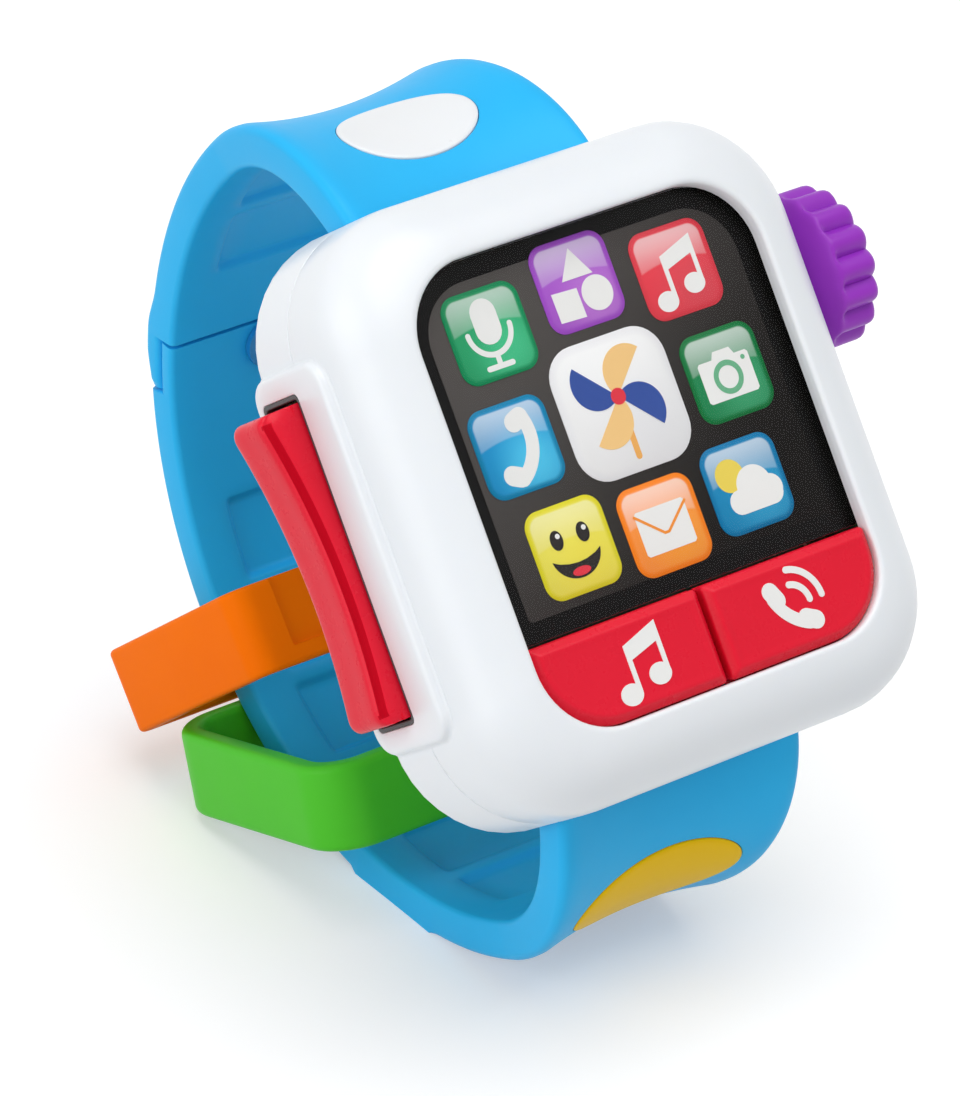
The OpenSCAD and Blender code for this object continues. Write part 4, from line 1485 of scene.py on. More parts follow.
    def draw_mail(self) -> None:
        """Draws an envelope with its flap."""
        at = self.at(TileLook.MAIL)
        d = Drawing("icon_envelope", at)
        d.plate([(x, y - 0.4) for x, y in ((-4.8, -3.2), (-4.4, -3.6), (4.4, -3.6),
                 (4.8, -3.2), (4.8, 3.3), (4.4, 3.7), (-4.4, 3.7), (-4.8, 3.3))])
        d.finish(PALETTE.print_white)
        d = Drawing("icon_envelope_flap", at, Layer.OVER)
        d.bar(-4.9, 2.7, -0.4, -1.1, 0.45)
        d.bar(4.9, 2.7, 0.4, -1.1, 0.45)
        d.bar(-0.4, -1.1, 0.4, -1.1, 0.45)
        d.finish(PALETTE.print_orange)

    def draw_weather(self) -> None:
        """Draws the sun behind a cloud."""
        at = self.at(TileLook.WEATHER)
        d = Drawing("icon_sun", at, Layer.LOW)
        d.disc(-2.6, 2.1, 2.7)
        d.finish(PALETTE.print_sun)
        d = Drawing("icon_cloud", at)
        d.bar(-2.2, -2.4, 4.0, -2.4, 4.0)
        d.disc(1.2, -0.5, 3.3)
        d.disc(4.0, -1.7, 2.2)
        d.finish(PALETTE.print_white)

    def draw_smile(self) -> None:
        """Draws a plain smiling face: two eyes and a wide mouth."""
        at = self.at(TileLook.SMILE)
        d = Drawing("icon_eyes", at)
        d.disc(-2.5, 1.9, 1.15, 1.6)
        d.finish(PALETTE.print_black)
        d = Drawing("icon_eye_right", at)
        d.disc(2.5, 1.9, 1.15, 1.6)
        d.finish(PALETTE.print_black)
        for name, x in (("icon_glint_left", -2.15), ("icon_glint_right", 2.85)):
            d = Drawing(name, at, Layer.OVER)
            d.disc(x, 2.5, 0.42)
            d.finish(PALETTE.print_white)
        d = Drawing("icon_mouth", at)
        d.disc(0, -0.6, 4.6, 4.2)
        lip = [(6, 1.6), (5, -0.9), (3.4, -1.75), (1.7, -2.2)]
        left = [(-x, y) for x, y in lip]
        d.cut(lambda: d.plate([(-6, 6), *left, (0, -2.35), *reversed(lip), (6, 6)]))
        d.finish(PALETTE.print_black)
        d = Drawing("icon_tongue", at, Layer.OVER)
        d.disc(0, -3.75, 1.7, 0.7)
        d.finish(PALETTE.print_rose)

    def draw_pinwheel(self) -> None:
        """Draws a toy windmill of four half discs on a stick."""
        at = (0.0, self.middle_y)
        reach, hub_y = 4.5, 1.2
        d = Drawing("icon_stick", at, Layer.BEHIND)
        d.bar(0, 0, 0, -8.6, 1.1)
        d.finish(PALETTE.print_amber)
        for k, finish in enumerate((PALETTE.print_cream, PALETTE.print_navy) * 2):
            lie = math.radians(45 + 90 * k)
            foot = polar(0.0, hub_y, reach, lie)
            d = Drawing(f"icon_vane_{k + 1}", at)
            d.plate([polar(*foot, reach, lie + math.pi - math.pi * i / ARC_STEPS)
                     for i in range(ARC_STEPS + 1)])
            d.finish(finish)
        d = Drawing("icon_hub", at, Layer.OVER)
        d.disc(0, hub_y, 1.35)
        d.finish(PALETTE.print_rose)

    def build(self) -> None:
        """Builds and dresses the screen."""
        self.build_lens()
        self.build_panel()
        for look in self.places:
            self.build_tile(f"tile_{look.name.lower()}", look, self.at(look), self.tile,
                            self.tile_corner)
        self.build_tile("tile_middle", TileLook.CENTRE, (0.0, self.middle_y),
                        self.middle_tile, self.middle_corner)
        for draw in (self.draw_mic, self.draw_shapes, self.draw_notes, self.draw_phone,
                     self.draw_camera, self.draw_mail, self.draw_weather, self.draw_smile,
                     self.draw_pinwheel):
            draw()


# ---------------------------------------------------------------- the controls

def add_inner_part(obj: bpy.types.Object, node: str, low: Point,
                   high: Point) -> bpy.types.Object:
    """Joins the part of a solid that lies in a box to a piece in the face frame.

    Args:
        obj: The piece, which shows the outer part of that solid.
        node: The solid's name.
        low: The box's lowest corner.
        high: Its highest corner.

    Returns:
        The piece.
    """
    under = place(from_solid(node, f"{node}_under", stands=False), STAND.inverted())
    under = boolean(under, block("keep", low, high), Join.SHARED)
    return boolean(obj, under, Join.ADD)


class Side(Enum):
    """The two buttons under the screen."""

    MUSIC = -1
    CALL = 1


@dataclass
class Buttons:
    """The two red buttons, each with a sloped edge round a slightly hollow top."""

    w: float = 32.3
    h: float = 15.5
    mid_x: float = 16.65
    mid_y: float = -30.0
    corner: float = 12.2
    under: float = -0.9

    def outline(self, side: Side, inset: float, n: float) -> Outline:
        """Gives a button's outline.

        Args:
            side: Which button.
            inset: How far in from its edge.
            n: Its height.

        Returns:
            The outline.
        """
        small = max(0.7 - inset / 4, 0.3)
        big = min(self.corner - inset, self.h - 2 * inset - small - 0.1)
        radii = (small, small, small, big) if side is Side.MUSIC else \
            (big, small, small, small)
        return round_rect(self.w - 2 * inset, self.h - 2 * inset, radii, n, 12,
                          (side.value * self.mid_x, self.mid_y))

    def build_one(self, side: Side, node: str) -> None:
        """Builds one button.

        Args:
            side: Which button.
            node: The solid that it stands for.
        """
        rows = [(0.05, -1.0), (0.0, 1.1), (0.06, 1.38), (0.22, 1.6), (1.0, 2.3),
                (1.2, 2.48), (1.45, 2.58), (1.7, 2.6), (2.0, 2.57), (2.4, 2.52),
                (2.7, 2.5)]
        cap = sweep(f"{node}_cap", [self.outline(side, *row) for row in rows])
        x = side.value * self.mid_x
        cap = add_inner_part(cap, node, (x - 30, -60, -30), (x + 30, 0, self.under))
        smooth(cap, 38)
        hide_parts(node)
        finish_piece(place(cap, STAND), PALETTE.red, node)

    def build(self) -> None:
        """Builds and dresses both buttons and their pictures."""
        self.build_one(Side.MUSIC, "music_button")
        self.build_one(Side.CALL, "call_button")
        d = Drawing("music_button_notes", (-14.6, -30.3), Layer.BUTTON)
        d.notes(-0.6, 0, 1.0)
        d.finish(PALETTE.print_white, "music_button", "case_white")
        d = Drawing("call_button_handset", (0, -0.25), Layer.BUTTON)
        d.arc(19.9, -24.9, 8.9, 2.1, 200, 250)
        d.bar(11.6, -26.7, 12.4, -28.3, 3.0)
        d.bar(18.1, -33.2, 16.5, -32.4, 3.0)
        d.finish(PALETTE.print_white, "call_button", "case_white")
        for name, r in (("call_button_wave_small", 3.3), ("call_button_wave_large", 5.7)):
            d = Drawing(name, (0, -0.25), Layer.BUTTON)
            d.arc(14.9, -29.9, r, 1.1, 2, 82)
            d.finish(PALETTE.print_white, "call_button", "case_white")


@dataclass
class Rocker:
    """The raised white frame on the case's side, its slot lined dark as painted shade,
    and the red rocker.
    """

    l: float = 62.0
    depth: float = 22.2
    corner: float = 4.2
    mid: float = -19.2
    slot_l: float = 54.0
    slot_w: float = 11.6
    slot_mid: float = -22.4
    rocker_l: float = 51.5
    rocker_half: float = 5.25
    round_end: float = 2.8
    proud: float = 8.72
    dish: float = 2.6
    lean: float = 2.5
    pivot: float = -43.6
    groove: float = 0.6
    groove_from: float = 0.5
    groove_to: float = 1.95
    end_drop: float = 2.2

    def build_frame(self) -> None:
        """Builds the frame with a soft skirt onto the case."""
        outer = [(-0.55, -43.93), (-0.3, -44.02), (-0.1, -44.2), (0.0, -44.5),
                 (0.08, -44.95), (0.3, -45.28), (0.65, -45.45), (1.1, -45.5)]
        inner = [(0.5, -45.5), (0.15, -45.38), (0.0, -45.1), (0.0, -41.9)]
        middle, slot_middle = (0, self.mid), (0, self.slot_mid)
        rows = [round_rect(self.l - 2 * e, self.depth - 2 * e, self.corner - e * 0.6, x,
                           8, middle) for e, x in outer]
        rows += [round_rect(self.slot_l + 2 * e, self.slot_w + 2 * e, 1 + e, x, 8,
                            slot_middle) for e, x in inner]
        rows.append(round_rect(self.l, self.depth, self.corner, inner[-1][1], 8, middle))
        frame_ = sweep("rocker_surround", [on_side(row) for row in rows], Ends.JOINED)
        smooth(frame_)
        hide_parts("rocker_frame")
        finish_piece(place(frame_, STAND), PALETTE.white, "watch")

    def build_slot_shade(self) -> None:
        """Builds a dark lining over the slot's walls: painted shade in the gap round the
        rocker.
        """
        rows = [(0.03, 0.03, -45.4), (0.03, 0.03, -42.0), (0.75, 0.36, -42.0),
                (0.75, 0.36, -45.25), (0.6, 0.26, -45.4)]
        outlines = [
            on_side(round_rect(self.slot_l - 2 * a, self.slot_w - 2 * b, 0.9, x, 6,
                               (0, self.slot_mid))) for a, b, x in rows]
        # A thin dark sheet just inside the frame's slot walls, as painted shade.
        liner = sweep("rocker_slot_painted_shade", outlines, Ends.JOINED)
        smooth(liner)
        finish_piece(place(liner, STAND), PALETTE.slot, "watch")

    def face(self, y: float) -> float:
        """Gives how far out the dished face lies at a place along the rocker."""
        return self.dish * (1 - (2 * y / self.rocker_l) ** 2) - self.proud

    def leaning(self) -> Matrix:
        """Gives the way from the rocker's own pivot to the face frame."""
        return (Matrix.Translation(Vector((self.pivot, 0, self.slot_mid)) * MM)
                @ Matrix.Rotation(math.radians(self.lean), 4, "Z"))

    def section(self, y: float, round_off: float) -> Outline:
        """Gives the rocker's section at a place along it.

        Args:
            y: The place.
            round_off: From 0 to 1 towards its rounded ends.

        Returns:
            The section, from the pivot.
        """
        out = self.face(y) + self.end_drop * round_off
        half = self.rocker_half - 0.5 * round_off
        groove = self.groove * (1 - round_off)
        flank = [(-0.8, half), (out + 4.0, half), (out + 2.3, half),
                 (out + self.groove_to, half - 0.1), (out + 1.55, half - groove * 0.8),
                 (out + 1.2, half - groove), (out + 0.85, half - groove * 0.85),
                 (out + self.groove_from, half - 0.35), (out + 0.28, half - 0.55),
                 (out + 0.1, half - 0.95), (out, half - 1.6), (out + 0.1, half / 3)]
        points = flank + [(x, -n) for x, n in reversed(flank)]
        return [Vector((x, y, n)) for x, n in points]

    def build_rocker(self) -> None:
        """Builds the rocker on the solid's own pivot."""
        half = self.rocker_l / 2
        e = self.round_end
        ends = [(-half + e * (1 - math.cos(a)), 1 - math.sin(a)) for a in quarter(6)]
        middle = [(-half + e + 2 * (half - e) * k / 30, 0.0) for k in range(1, 30)]
        rows = ends + middle + [(-y, r) for y, r in reversed(ends)]
        body = sweep("rocker_body", [self.section(y, r) for y, r in rows])
        place(body, self.leaning())
        wide = self.rocker_half - 0.01
        body = add_inner_part(body, "rocker", (-46.6, -40, self.slot_mid - wide),
                              (-30, 40, self.slot_mid + wide))
        smooth(body, 42)
        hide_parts("rocker")
        finish_piece(place(body, STAND), PALETTE.red, "rocker")
        self.paint_groove_shade(body)

    def paint_groove_shade(self, body: bpy.types.Object) -> None:
        """Paints shade into the groove along the front of the rocker: a deeper red stands
        for the shade in its concave crease.

        Args:
            body: The rocker, in its place.
        """
        # The groove's faces take the darker red as painted shade.
        body.data.materials.append(PAINTS.get(PALETTE.red_groove_shade))
        back = (STAND @ self.leaning()).inverted()
        reach = (self.rocker_l - self.round_end) / 2
        flank = self.rocker_half - 0.7

        def in_groove(middle: Vector) -> bool:
            """Tells whether a face lies in the groove."""
            at = back @ (middle * MM) / MM
            deep = self.groove_from < at.x - self.face(at.y) < self.groove_to
            return deep and abs(at.y) < reach and abs(at.z) > flank

        with editing(body):
            pick_faces(in_groove)
            body.active_material_index = 1
            bpy.ops.object.material_slot_assign()

    def build(self) -> None:
        """Builds and dresses the frame, the slot and the rocker."""
        self.build_frame()
        self.build_slot_shade()
        self.build_rocker()


@dataclass
class Knob:
    """The purple knob with sixteen rounded lobes."""

    y: float = 19.0
    n: float = -15.0
    lobes: int = 16
    notch: float = 1.5
    sharp: float = 0.95
    sides: int = 192

    def ring(self, x: float, r: float, depth: float) -> Outline:
        """Gives the knob's outline at a place along its axis.

        Args:
            x: The place.
            r: Radius of its crests.
            depth: How deep its notches are, from 0 to 1.

        Returns:
            The outline.
        """
        points = []
        for k in range(self.sides):
            a = 2 * math.pi * k / self.sides
            dent = 1 - abs(math.sin(self.lobes * a / 2)) ** self.sharp
            reach = r - self.notch * depth * dent
            points.append(Vector((x, *polar(self.y, self.n, reach, a))))
        return points

    def build(self) -> None:
        """Builds and dresses the knob."""
        rows = [(44.8, 0.6, 0), (44.8, 8.3, 0), (44.9, 8.9, 0), (46.3, 11.3, 0),
                (46.9, 12.3, 0), (47.3, 12.9, 0.03), (47.6, 13.2, 0.1),
                (47.9, 13.35, 0.3), (48.2, 13.4, 0.6), (48.6, 13.4, 0.88),
                (49.2, 13.4, 1), (53.4, 13.38, 1), (54.2, 13.25, 1),
                (54.75, 12.95, 0.95), (55.1, 12.5, 0.9), (55.28, 11.9, 0.8),
                (55.3, 11.2, 0.45), (55.22, 10.3, 0.1), (55.0, 8.8, 0),
                (54.8, 6.0, 0), (54.75, 0.6, 0)]
        knob = sweep("knob_lobed", [self.ring(*row) for row in rows])
        smooth(knob, 50)
        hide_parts("knob")
        finish_piece(place(knob, STAND), PALETTE.purple, "knob")


# ---------------------------------------------------------------- the strap

class Half(Enum):
    """The strap's halves: 1 leaves the case above, -1 below."""

    UPPER = 1
    LOWER = -1


@dataclass
class Station:
    """One place along the strap.

    Attributes:
        turn: Its angle round the bend or the loop, in degrees.
        top: Depth of the outer face there.
        bottom: Depth of the inner face.
        narrow: How much narrower each side is.
    """

    turn: float
    top: float = 0.0
    bottom: float = 7.0
    narrow: float = 0.0


@dataclass(frozen=True)
class Oval:
    """The place and size of an oval on the strap: the badge's or the inset's."""

    turn: float
    w: float
    l: float


@dataclass
class Strap:
    """The blue strap: a tight bend at the case that runs on into one round loop."""

    end_r: float = 36.0
    end_n: float = -53.94
    end_y: float = 36.15
    case_turn: float = 5.0
    bend_steps: int = 46
    junction: float = 98.0
    loop_turn: float = 98.3
    step: float = 1.6
    exit_turn: float = 24.3
    taper_end: float = 130.0
    thick: float = 7.0
    w_case: float = 48.0
    w_back: float = 39.0
    dip_case: float = 3.0
    dip_back: float = 1.6
    rim: float = 2.6
    edge_out: float = 1.5
    edge_in: float = 1.1
    lap: float = 139.0
    rise_from: float = 7.0
    rise_to: float = 0.4
    rise_steps: int = 9
    lap_pitch: float = 0.6
    lap_step: float = 2.4
    fall_steps: int = 10
    narrow_end: float = 0.5
    upper_end: float = 147.4
    upper_under: float = 3.0
    lower_lap: float = 212.45
    lower_step: float = 0.35
    lower_end: float = 220.8
    lower_top: float = 3.2
    tongue_steps: int = 8
    bump: float = 1.2
    pocket_l: float = 15.0
    pocket_half: float = 12.1
    pocket_deep: float = 1.2
    pocket_pitch: float = 15.02
    pocket_soft: float = 1.6
    upper_pockets: Pair = (105.5, 125.0)
    lower_pockets: Pair = (113.0, 195.0)
    foot_half: float = 11.9
    foot_under: float = 3.7
    badge: Oval = Oval(52.0, 25.0, 18.5)
    inset: Oval = Oval(68.0, 33.0, 20.0)
    sunk_gap: float = 0.3

    def share(self, turn: float) -> float:
        """Gives how far the strap has changed from its shape at the case, 0 to 1."""
        return smoothstep((turn - self.exit_turn) / (self.taper_end - self.exit_turn))

    def half_w(self, turn: float) -> float:
        """Gives half the strap's width at a turn."""
        return (self.w_case + (self.w_back - self.w_case) * self.share(turn)) / 2

    def hollow(self, x: float, turn: float) -> float:
        """Gives how far the outer face is hollowed at a place.

        Args:
            x: The place across the strap.
            turn: The place along it.

        Returns:
            The depth below the rims.
        """
        flat = self.half_w(turn) - self.rim
        deep = self.dip_case + (self.dip_back - self.dip_case) * self.share(turn)
        return deep * max(0.0, 1 - (x / flat) ** 2)

    def at(self, turn: float, x: float, depth: float, half: Half) -> Vector:
        """Gives a point of the strap in the face frame.

        Args:
            turn: Its place along the strap.
            x: Its place across.
            depth: Its depth below the outer face.
            half: Which half it is on.

        Returns:
            The point.
        """
        near = turn <= self.junction
        cy, cn = (self.end_y, self.end_n) if near else (LOOP_Y, LOOP_Z)
        r = (self.end_r if near else LOOP_R) - depth
        a = math.radians(turn)
        y = cy + r * math.sin(a)
        if half is Half.LOWER:
            y = 2 * LOOP_Y - y
        return Vector((x, y, cn + r * math.cos(a)))

    def pockets(self, half: Half) -> list[float]:
        """Gives the turns at which one half's inner pockets have their middles."""
        first, last = self.upper_pockets if half is Half.UPPER else self.lower_pockets
        return [first + self.pocket_pitch * k for k in range(6)
                if first + self.pocket_pitch * k < last]

    def inner_arc(self) -> float:
        """Gives how long one degree of the loop is along its inner face."""
        return math.radians(1) * (LOOP_R - self.thick)

    def sunk(self, turn: float, half: Half) -> float:
        """Gives how deep the pockets are at a turn, as a share of their full depth."""
        if turn <= self.junction:
            return 0.0
        gap = min(abs(turn - p) for p in self.pockets(half)) * self.inner_arc()
        return 1 - smoothstep((gap - self.pocket_l / 2) / self.pocket_soft + 1)

    def section(self, s: Station, half: Half) -> Outline:
        """Gives the strap's outline at a station.

        Args:
            s: The station.
            half: Which half.

        Returns:
            Its points.
        """
        w = self.half_w(s.turn) - s.narrow
        thick = s.bottom - s.top
        out, inn = min(self.edge_out, thick / 2), min(self.edge_in, thick / 2)
        flat = w - self.rim
        sink = self.pocket_deep * self.sunk(s.turn, half)
        across = [flat * i / 12 for i in range(12)]
        half_side = [(x, s.top + min(self.hollow(x, s.turn), thick * 0.6))
                     for x in across]
        half_side += [(flat, s.top + 0.02), (flat + (self.rim - out) * 0.6, s.top)]
        half_side += [(w - out + out * math.sin(a), s.top + out * (1 - math.cos(a)))
                      for a in quarter(5)]
        half_side += [(w - inn + inn * math.cos(a), s.bottom - inn * (1 - math.sin(a)))
                      for a in quarter(4)]
        p = self.pocket_half
        half_side.append((p + 2.0, s.bottom))
        half_side += [(p + 0.2 - 0.4 * k, s.bottom - sink * smoothstep(k / 4))
                      for k in range(5)]
        half_side += [(p / 2, s.bottom - sink), (0.0, s.bottom - sink)]
        points = half_side + [(-x, d) for x, d in reversed(half_side[1:-1])]
        return [self.at(s.turn, x, d, half) for x, d in points]

    def stations(self, half: Half) -> list[Station]:
        """Gives every station of one half.

        Args:
            half: Which half.

        Returns:
            The stations from the case to the free end.
        """
        bend = self.junction - self.case_turn
        run = [Station(self.case_turn + bend * k / self.bend_steps)
               for k in range(self.bend_steps + 1)]
        upper = half is Half.UPPER
        last = self.lap - self.rise_from if upper else self.lower_lap - self.lower_step
        count = int((last - self.loop_turn) / self.step)
        turns = [self.loop_turn + (last - self.loop_turn) * k / count
                 for k in range(count + 1)]
        for middle in self.pockets(half):
            for k in range(5):
                away = (self.pocket_l / 2 - 0.4 * k) / self.inner_arc()
                turns += [turn for turn in (middle - away, middle + away) if turn < last]
        run += [Station(turn) for turn in sorted(turns)]
        return run + (self.upper_lap() if upper else self.lower_tongue())

    def upper_lap(self) -> list[Station]:
        """Gives the stations where the upper half rises over the lower one, runs on level
        and falls off to its end, where it narrows."""
        rise, run = self.rise_from - self.rise_to, []
        for k in range(1, self.rise_steps + 1):
            share = k / self.rise_steps
            run.append(Station(self.lap - self.rise_from + rise * share,
                               -self.bump * smoothstep(share)))
        level = int(self.lap_step / self.lap_pitch)
        run += [Station(self.lap + k * self.lap_pitch, -self.bump, self.upper_under)
                for k in range(level)]
        fall = self.lap + self.lap_step
        for k in range(1, self.fall_steps + 1):
            share = k / self.fall_steps
            run.append(Station(fall + (self.upper_end - fall) * share,
                               -self.bump * (1 - 0.9 * smoothstep(share)),
                               self.upper_under,
                               self.narrow_end * max(0.0, share - 0.8) / 0.2))
        return run

    def lower_tongue(self) -> list[Station]:
        """Gives the stations of the thin end of the lower half."""
        reach = self.lower_end - self.lower_lap
        return [Station(self.lower_lap + reach * k / self.tongue_steps, self.lower_top)
                for k in range(self.tongue_steps + 1)]

    def build_oval(self, name: str, half: Half, rows: Rows,
                   wider: float = 0.0) -> bpy.types.Object:
        """Builds an oval that follows the strap's hollow face.

        Args:
            name: Its name.
            half: Which half it is on.
            rows: A share of its size and a depth for each outline.
            wider: How much wider and longer it is made.

        Returns:
            The oval.
        """
        oval = self.badge if half is Half.UPPER else self.inset
        arc = math.degrees(1 / self.end_r)
        outlines = []
        for share, depth in rows:
            outline = []
            for k in range(OVAL_STEPS):
                a = 2 * math.pi * k / OVAL_STEPS
                x = (oval.w + wider) / 2 * share * math.cos(a)
                t = oval.turn + (oval.l + wider) / 2 * share * math.sin(a) * arc
                outline.append(self.at(t, x, self.hollow(x, t) + depth, half))
            outlines.append(outline)
        return sweep(name, outlines)

    def set_foot(self, obj: bpy.types.Object) -> None:
        """Presses the strap flat where it stands.

        Args:
            obj: The lower half, standing in its place.
        """
        for vert in obj.data.vertices:
            co = vert.co / MM
            under = abs(co.y) <= self.foot_half and co.z < self.foot_under
            if co.z < 0 or under:
                vert.co.z = 0.0

    def build_half(self, half: Half) -> bpy.types.Object:
        """Builds one half.

        Args:
            half: Which half.

        Returns:
            The half, in its place.
        """
        name = f"strap_{half.name.lower()}_half"
        band = sweep(name, [self.section(s, half) for s in self.stations(half)])
        cut = self.build_oval("cut", half, [(1.0, 1.6), (1.0, 0.4), (1.0, -1.5)],
                              self.sunk_gap)
        band = boolean(band, cut, Join.CUT)
        place(band, STAND)
        if half is Half.LOWER:
            self.set_foot(band)
        smooth(band, 48)
        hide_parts(f"strap_{half.name.lower()}")
        return band

    def build(self) -> None:
        """Builds and dresses both halves, the badge and the inset."""
        for half in Half:
            finish_piece(self.build_half(half), PALETTE.blue, "watch")
        dome = [(0.03, 1.4), (0.9, 1.4), (0.985, 1.3), (1.0, 1.1), (1.0, -0.05),
                (0.99, -0.2), (0.965, -0.31), (0.93, -0.37), (0.88, -0.4), (0.7, -0.4),
                (0.5, -0.4), (0.3, -0.4), (0.15, -0.4), (0.03, -0.4)]
        badge = self.build_oval("badge_oval", Half.UPPER, dome)
        smooth(badge)
        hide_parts("strap_badge")
        finish_piece(place(badge, STAND), PALETTE.badge, "watch")
        inset = self.build_oval("inset_oval", Half.LOWER, dome)
        smooth(inset)
        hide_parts("strap_inset")
        finish_piece(place(inset, STAND), PALETTE.yellow, "watch")


# ---------------------------------------------------------------- the rings

@dataclass
class Ring:
    """One of the two loose rings, drawn flat and leaned back about its rear lower edge.

    Attributes:
        node: The solid that it stands for.
        finish: Its finish, whose name is its material slot too.
        corner: Its outer corner radius.
        tilt: How far it leans back, in degrees.
        edge: How far its edges are rounded.
        recessed: Whether its front wall has a shallow recess.
    """

    node: str
    finish: Moulded
    corner: float
    tilt: float
    edge: float
    w: float = 66.0
    l: float = 51.0
    h: float = 15.0
    wall: float = 4.0
    recessed: bool = False
    recess_side: float = 8.0
    recess_foot: float = 3.0
    recess_deep: float = 1.0
    recess_round: float = 0.5

    def row(self, inset: float, z: float) -> Outline:
        """Gives an outline of the ring's wall.

        Args:
            inset: How far in from its outer face.
            z: Its height.

        Returns:
            The outline.
        """
        return round_rect(self.w - 2 * inset, self.l - 2 * inset,
                          max(self.corner - inset, 0.6), z, 10)

    def build(self) -> None:
        """Builds, places and dresses the ring."""
        e = self.edge
        rows = [(e * (1 - math.sin(a)), e * (1 - math.cos(a))) for a in quarter(5)]
        rows += [(e * (1 - math.cos(a)), self.h - e * (1 - math.sin(a)))
                 for a in quarter(5)]
        rows += [(self.wall - inset, self.h - z) for inset, z in rows]
        ring = sweep(f"{self.node}_rounded", [self.row(*row) for row in rows],
                     Ends.JOINED)
        if self.recessed:
            front, reach = -self.l / 2, self.w / 2 - self.recess_side
            tool = block("recess", (-reach, front - 2, self.recess_foot),
                         (reach, front + self.recess_deep, self.h + 5))
            bevel(tool, self.recess_round, 3)
            ring = boolean(ring, tool, Join.CUT)
        smooth(ring)
        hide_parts(self.node)
        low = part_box(self.node)[0]
        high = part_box(self.node)[1]
        turn = math.radians(self.tilt)
        back = high[1] / MM - self.h * math.sin(turn)
        lean = (Matrix.Translation(Vector((0, back, low[2] / MM)) * MM)
                @ Matrix.Rotation(-turn, 4, "X")
                @ Matrix.Translation(Vector((0, -self.l / 2, 0)) * MM))
        finish_piece(place(ring, lean), self.finish, self.node)


# ---------------------------------------------------------------- what is hidden

@dataclass
class Inside:
    """The working parts inside the case, whose solids stay and get their finishes."""

    dome_keep: float = 0.5
    finishes: dict[str, object] = field(default_factory=lambda: {
        "light_box": PALETTE.inner, "circuit_board": PALETTE.board,
        "sound_chip": PALETTE.chip, "leds": PALETTE.led, "board_screws": PALETTE.steel,
        "rocker_pin": PALETTE.steel, "side_board": PALETTE.board,
        "side_switches": PALETTE.slot, "knob_shaft": PALETTE.steel,
        "knob_bush": PALETTE.inner, "click_wheel": PALETTE.wheel,
        "click_spring": PALETTE.steel, "speaker_basket": PALETTE.steel,
        "speaker_cone": PALETTE.paper, "speaker_magnet": PALETTE.magnet,
        "power_slider": PALETTE.slot, "switch_body": PALETTE.steel,
        "batteries": PALETTE.cell, "battery_contacts": PALETTE.steel,
        "door_screw": PALETTE.steel, "case_screws": PALETTE.steel,
        "strap_pins": PALETTE.steel, "strap_rivet": PALETTE.rivet})

    def build_domes(self) -> None:
        """Builds the two soft return domes."""
        for node, joint in (("music_dome", "music_press"), ("call_dome", "call_press")):
            dome = from_solid(node, f"{node}_soft")
            finish_piece(dome, PALETTE.silicone, "watch")
            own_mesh(dome)

    def build(self) -> None:
        """Builds the domes and dresses every solid that stays."""
        self.build_domes()
        for node, finish in self.finishes.items():
            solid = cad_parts[node]
            if not solid.material_slots:
                solid.data.materials.append(None)
            for slot in solid.material_slots:
                slot.material = PAINTS.get(finish)
            log.info("%s: solid kept, dressed as %s", node, finish.name)


# ---------------------------------------------------------------- the studio

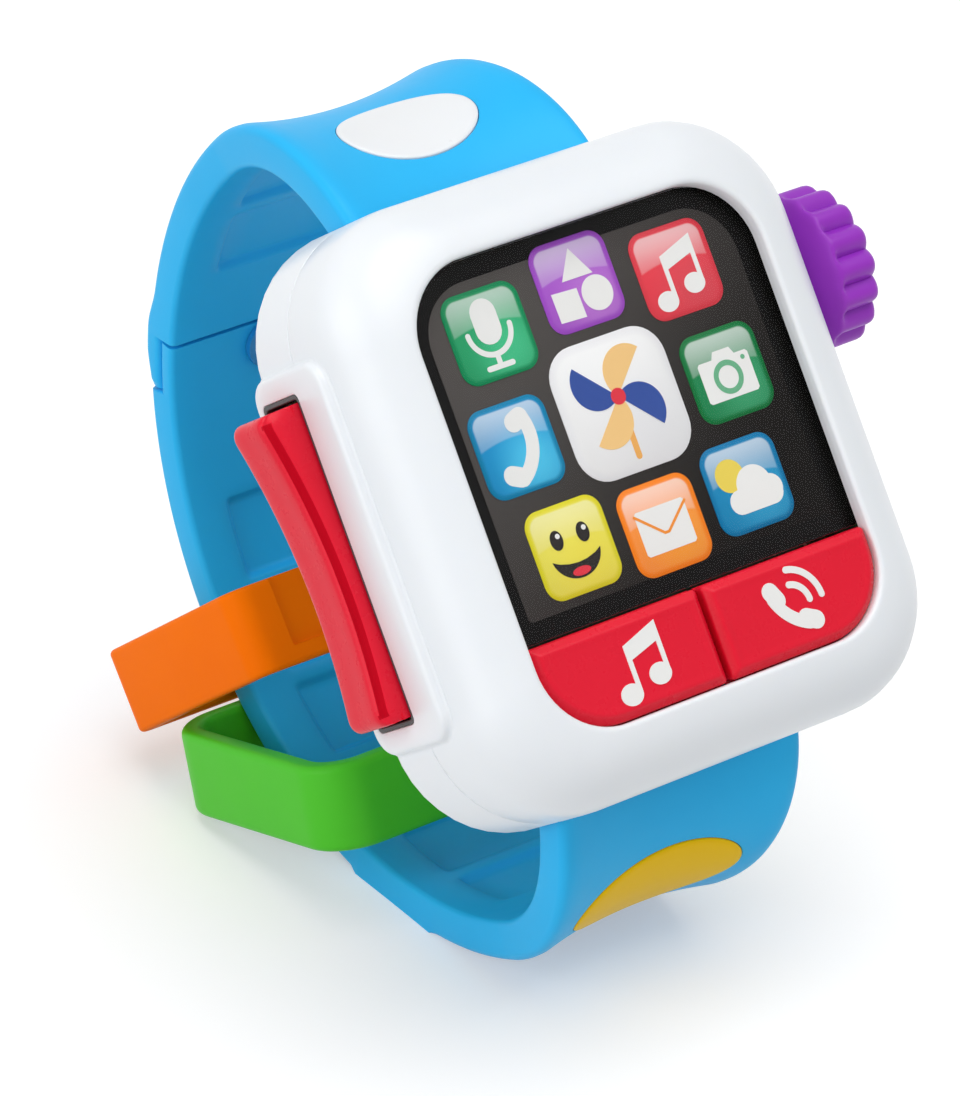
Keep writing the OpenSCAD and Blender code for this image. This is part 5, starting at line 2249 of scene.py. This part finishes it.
@dataclass
class Studio:
    """A pale floor, soft light and the camera at the photograph's angle."""

    place: Point = (-535.818, -735.280, 602.228)
    turn: tuple[float, float, float] = (59.30195, -0.29048, -35.79762)
    lens: float = 213.504
    sensor_high: float = 36.0
    near: float = 0.01
    key_from: Point = (0.08, -0.2, 0.97)
    key: float = 1.75
    side_from: Point = (-0.94, 0.0, 0.34)
    side: float = 1.15
    sun_angle: float = 55.0
    sky: float = 0.36
    floor_size: float = 6.0
    floor_grey: Pair = (0.72, 0.74)
    floor_lift: float = 0.37

    def build_floor(self) -> None:
        """Builds the floor, which takes the shadow and shows white beyond it."""
        clear_selection()
        bpy.ops.mesh.primitive_plane_add(size=self.floor_size, location=(0, 0, 0))
        floor = name_piece("studio_floor")
        material, g, shader = new_material("studio_floor")
        low, high = ((grey, grey, grey, 1) for grey in self.floor_grey)
        g.feed(shader, Base_Color=g.mix(g.noise(4.0), low, high), Roughness=0.9,
               Emission_Color=(1, 1, 1, 1),
               Emission_Strength=g.math("MULTIPLY", g.seen(), self.floor_lift))
        floor.data.materials.append(material)

    def build_light(self) -> None:
        """Builds the world and two wide soft suns, one above and one at the left."""
        world = bpy.data.worlds.new("studio")
        bpy.context.scene.world = world
        world.use_nodes = True
        g = Graph(world.node_tree)
        g.feed(world.node_tree.nodes["Background"], Color=(1, 1, 1, 1),
               Strength=g.math("MULTIPLY_ADD", g.seen(), 1.0 - self.sky, self.sky))
        for name, source, strength in (("studio_key", self.key_from, self.key),
                                       ("studio_side", self.side_from, self.side)):
            clear_selection()
            bpy.ops.object.light_add(type="SUN", location=Vector(source))
            sun = bpy.context.object
            sun.name = name
            sun.rotation_euler = Vector(source).to_track_quat("Z", "Y").to_euler()
            sun.data.energy = strength
            sun.data.angle = math.radians(self.sun_angle)

    def build_camera(self) -> None:
        """Builds the camera."""
        clear_selection()
        bpy.ops.object.camera_add(location=Vector(self.place) * MM,
                                  rotation=[math.radians(a) for a in self.turn])
        camera = bpy.context.object
        camera.name = "studio_camera"
        camera.data.sensor_fit = "VERTICAL"
        camera.data.sensor_height = self.sensor_high
        camera.data.lens = self.lens
        camera.data.clip_start = self.near
        bpy.context.scene.camera = camera

    def build(self) -> None:
        """Builds the studio."""
        self.build_floor()
        self.build_light()
        self.build_camera()
        bpy.context.scene.view_settings.view_transform = "Standard"


def main() -> None:
    logging.basicConfig(level=logging.INFO, format="%(message)s")
    Case().build()
    Screen().build()
    Buttons().build()
    Rocker().build()
    Knob().build()
    Strap().build()
    Ring("green_ring", PALETTE.green, 9.0, 18.0, 1.3).build()
    Ring("orange_ring", PALETTE.orange, 4.6, 39.0, 0.9, recessed=True).build()
    Inside().build()
    Studio().build()


if __name__ == "__main__":
    main()
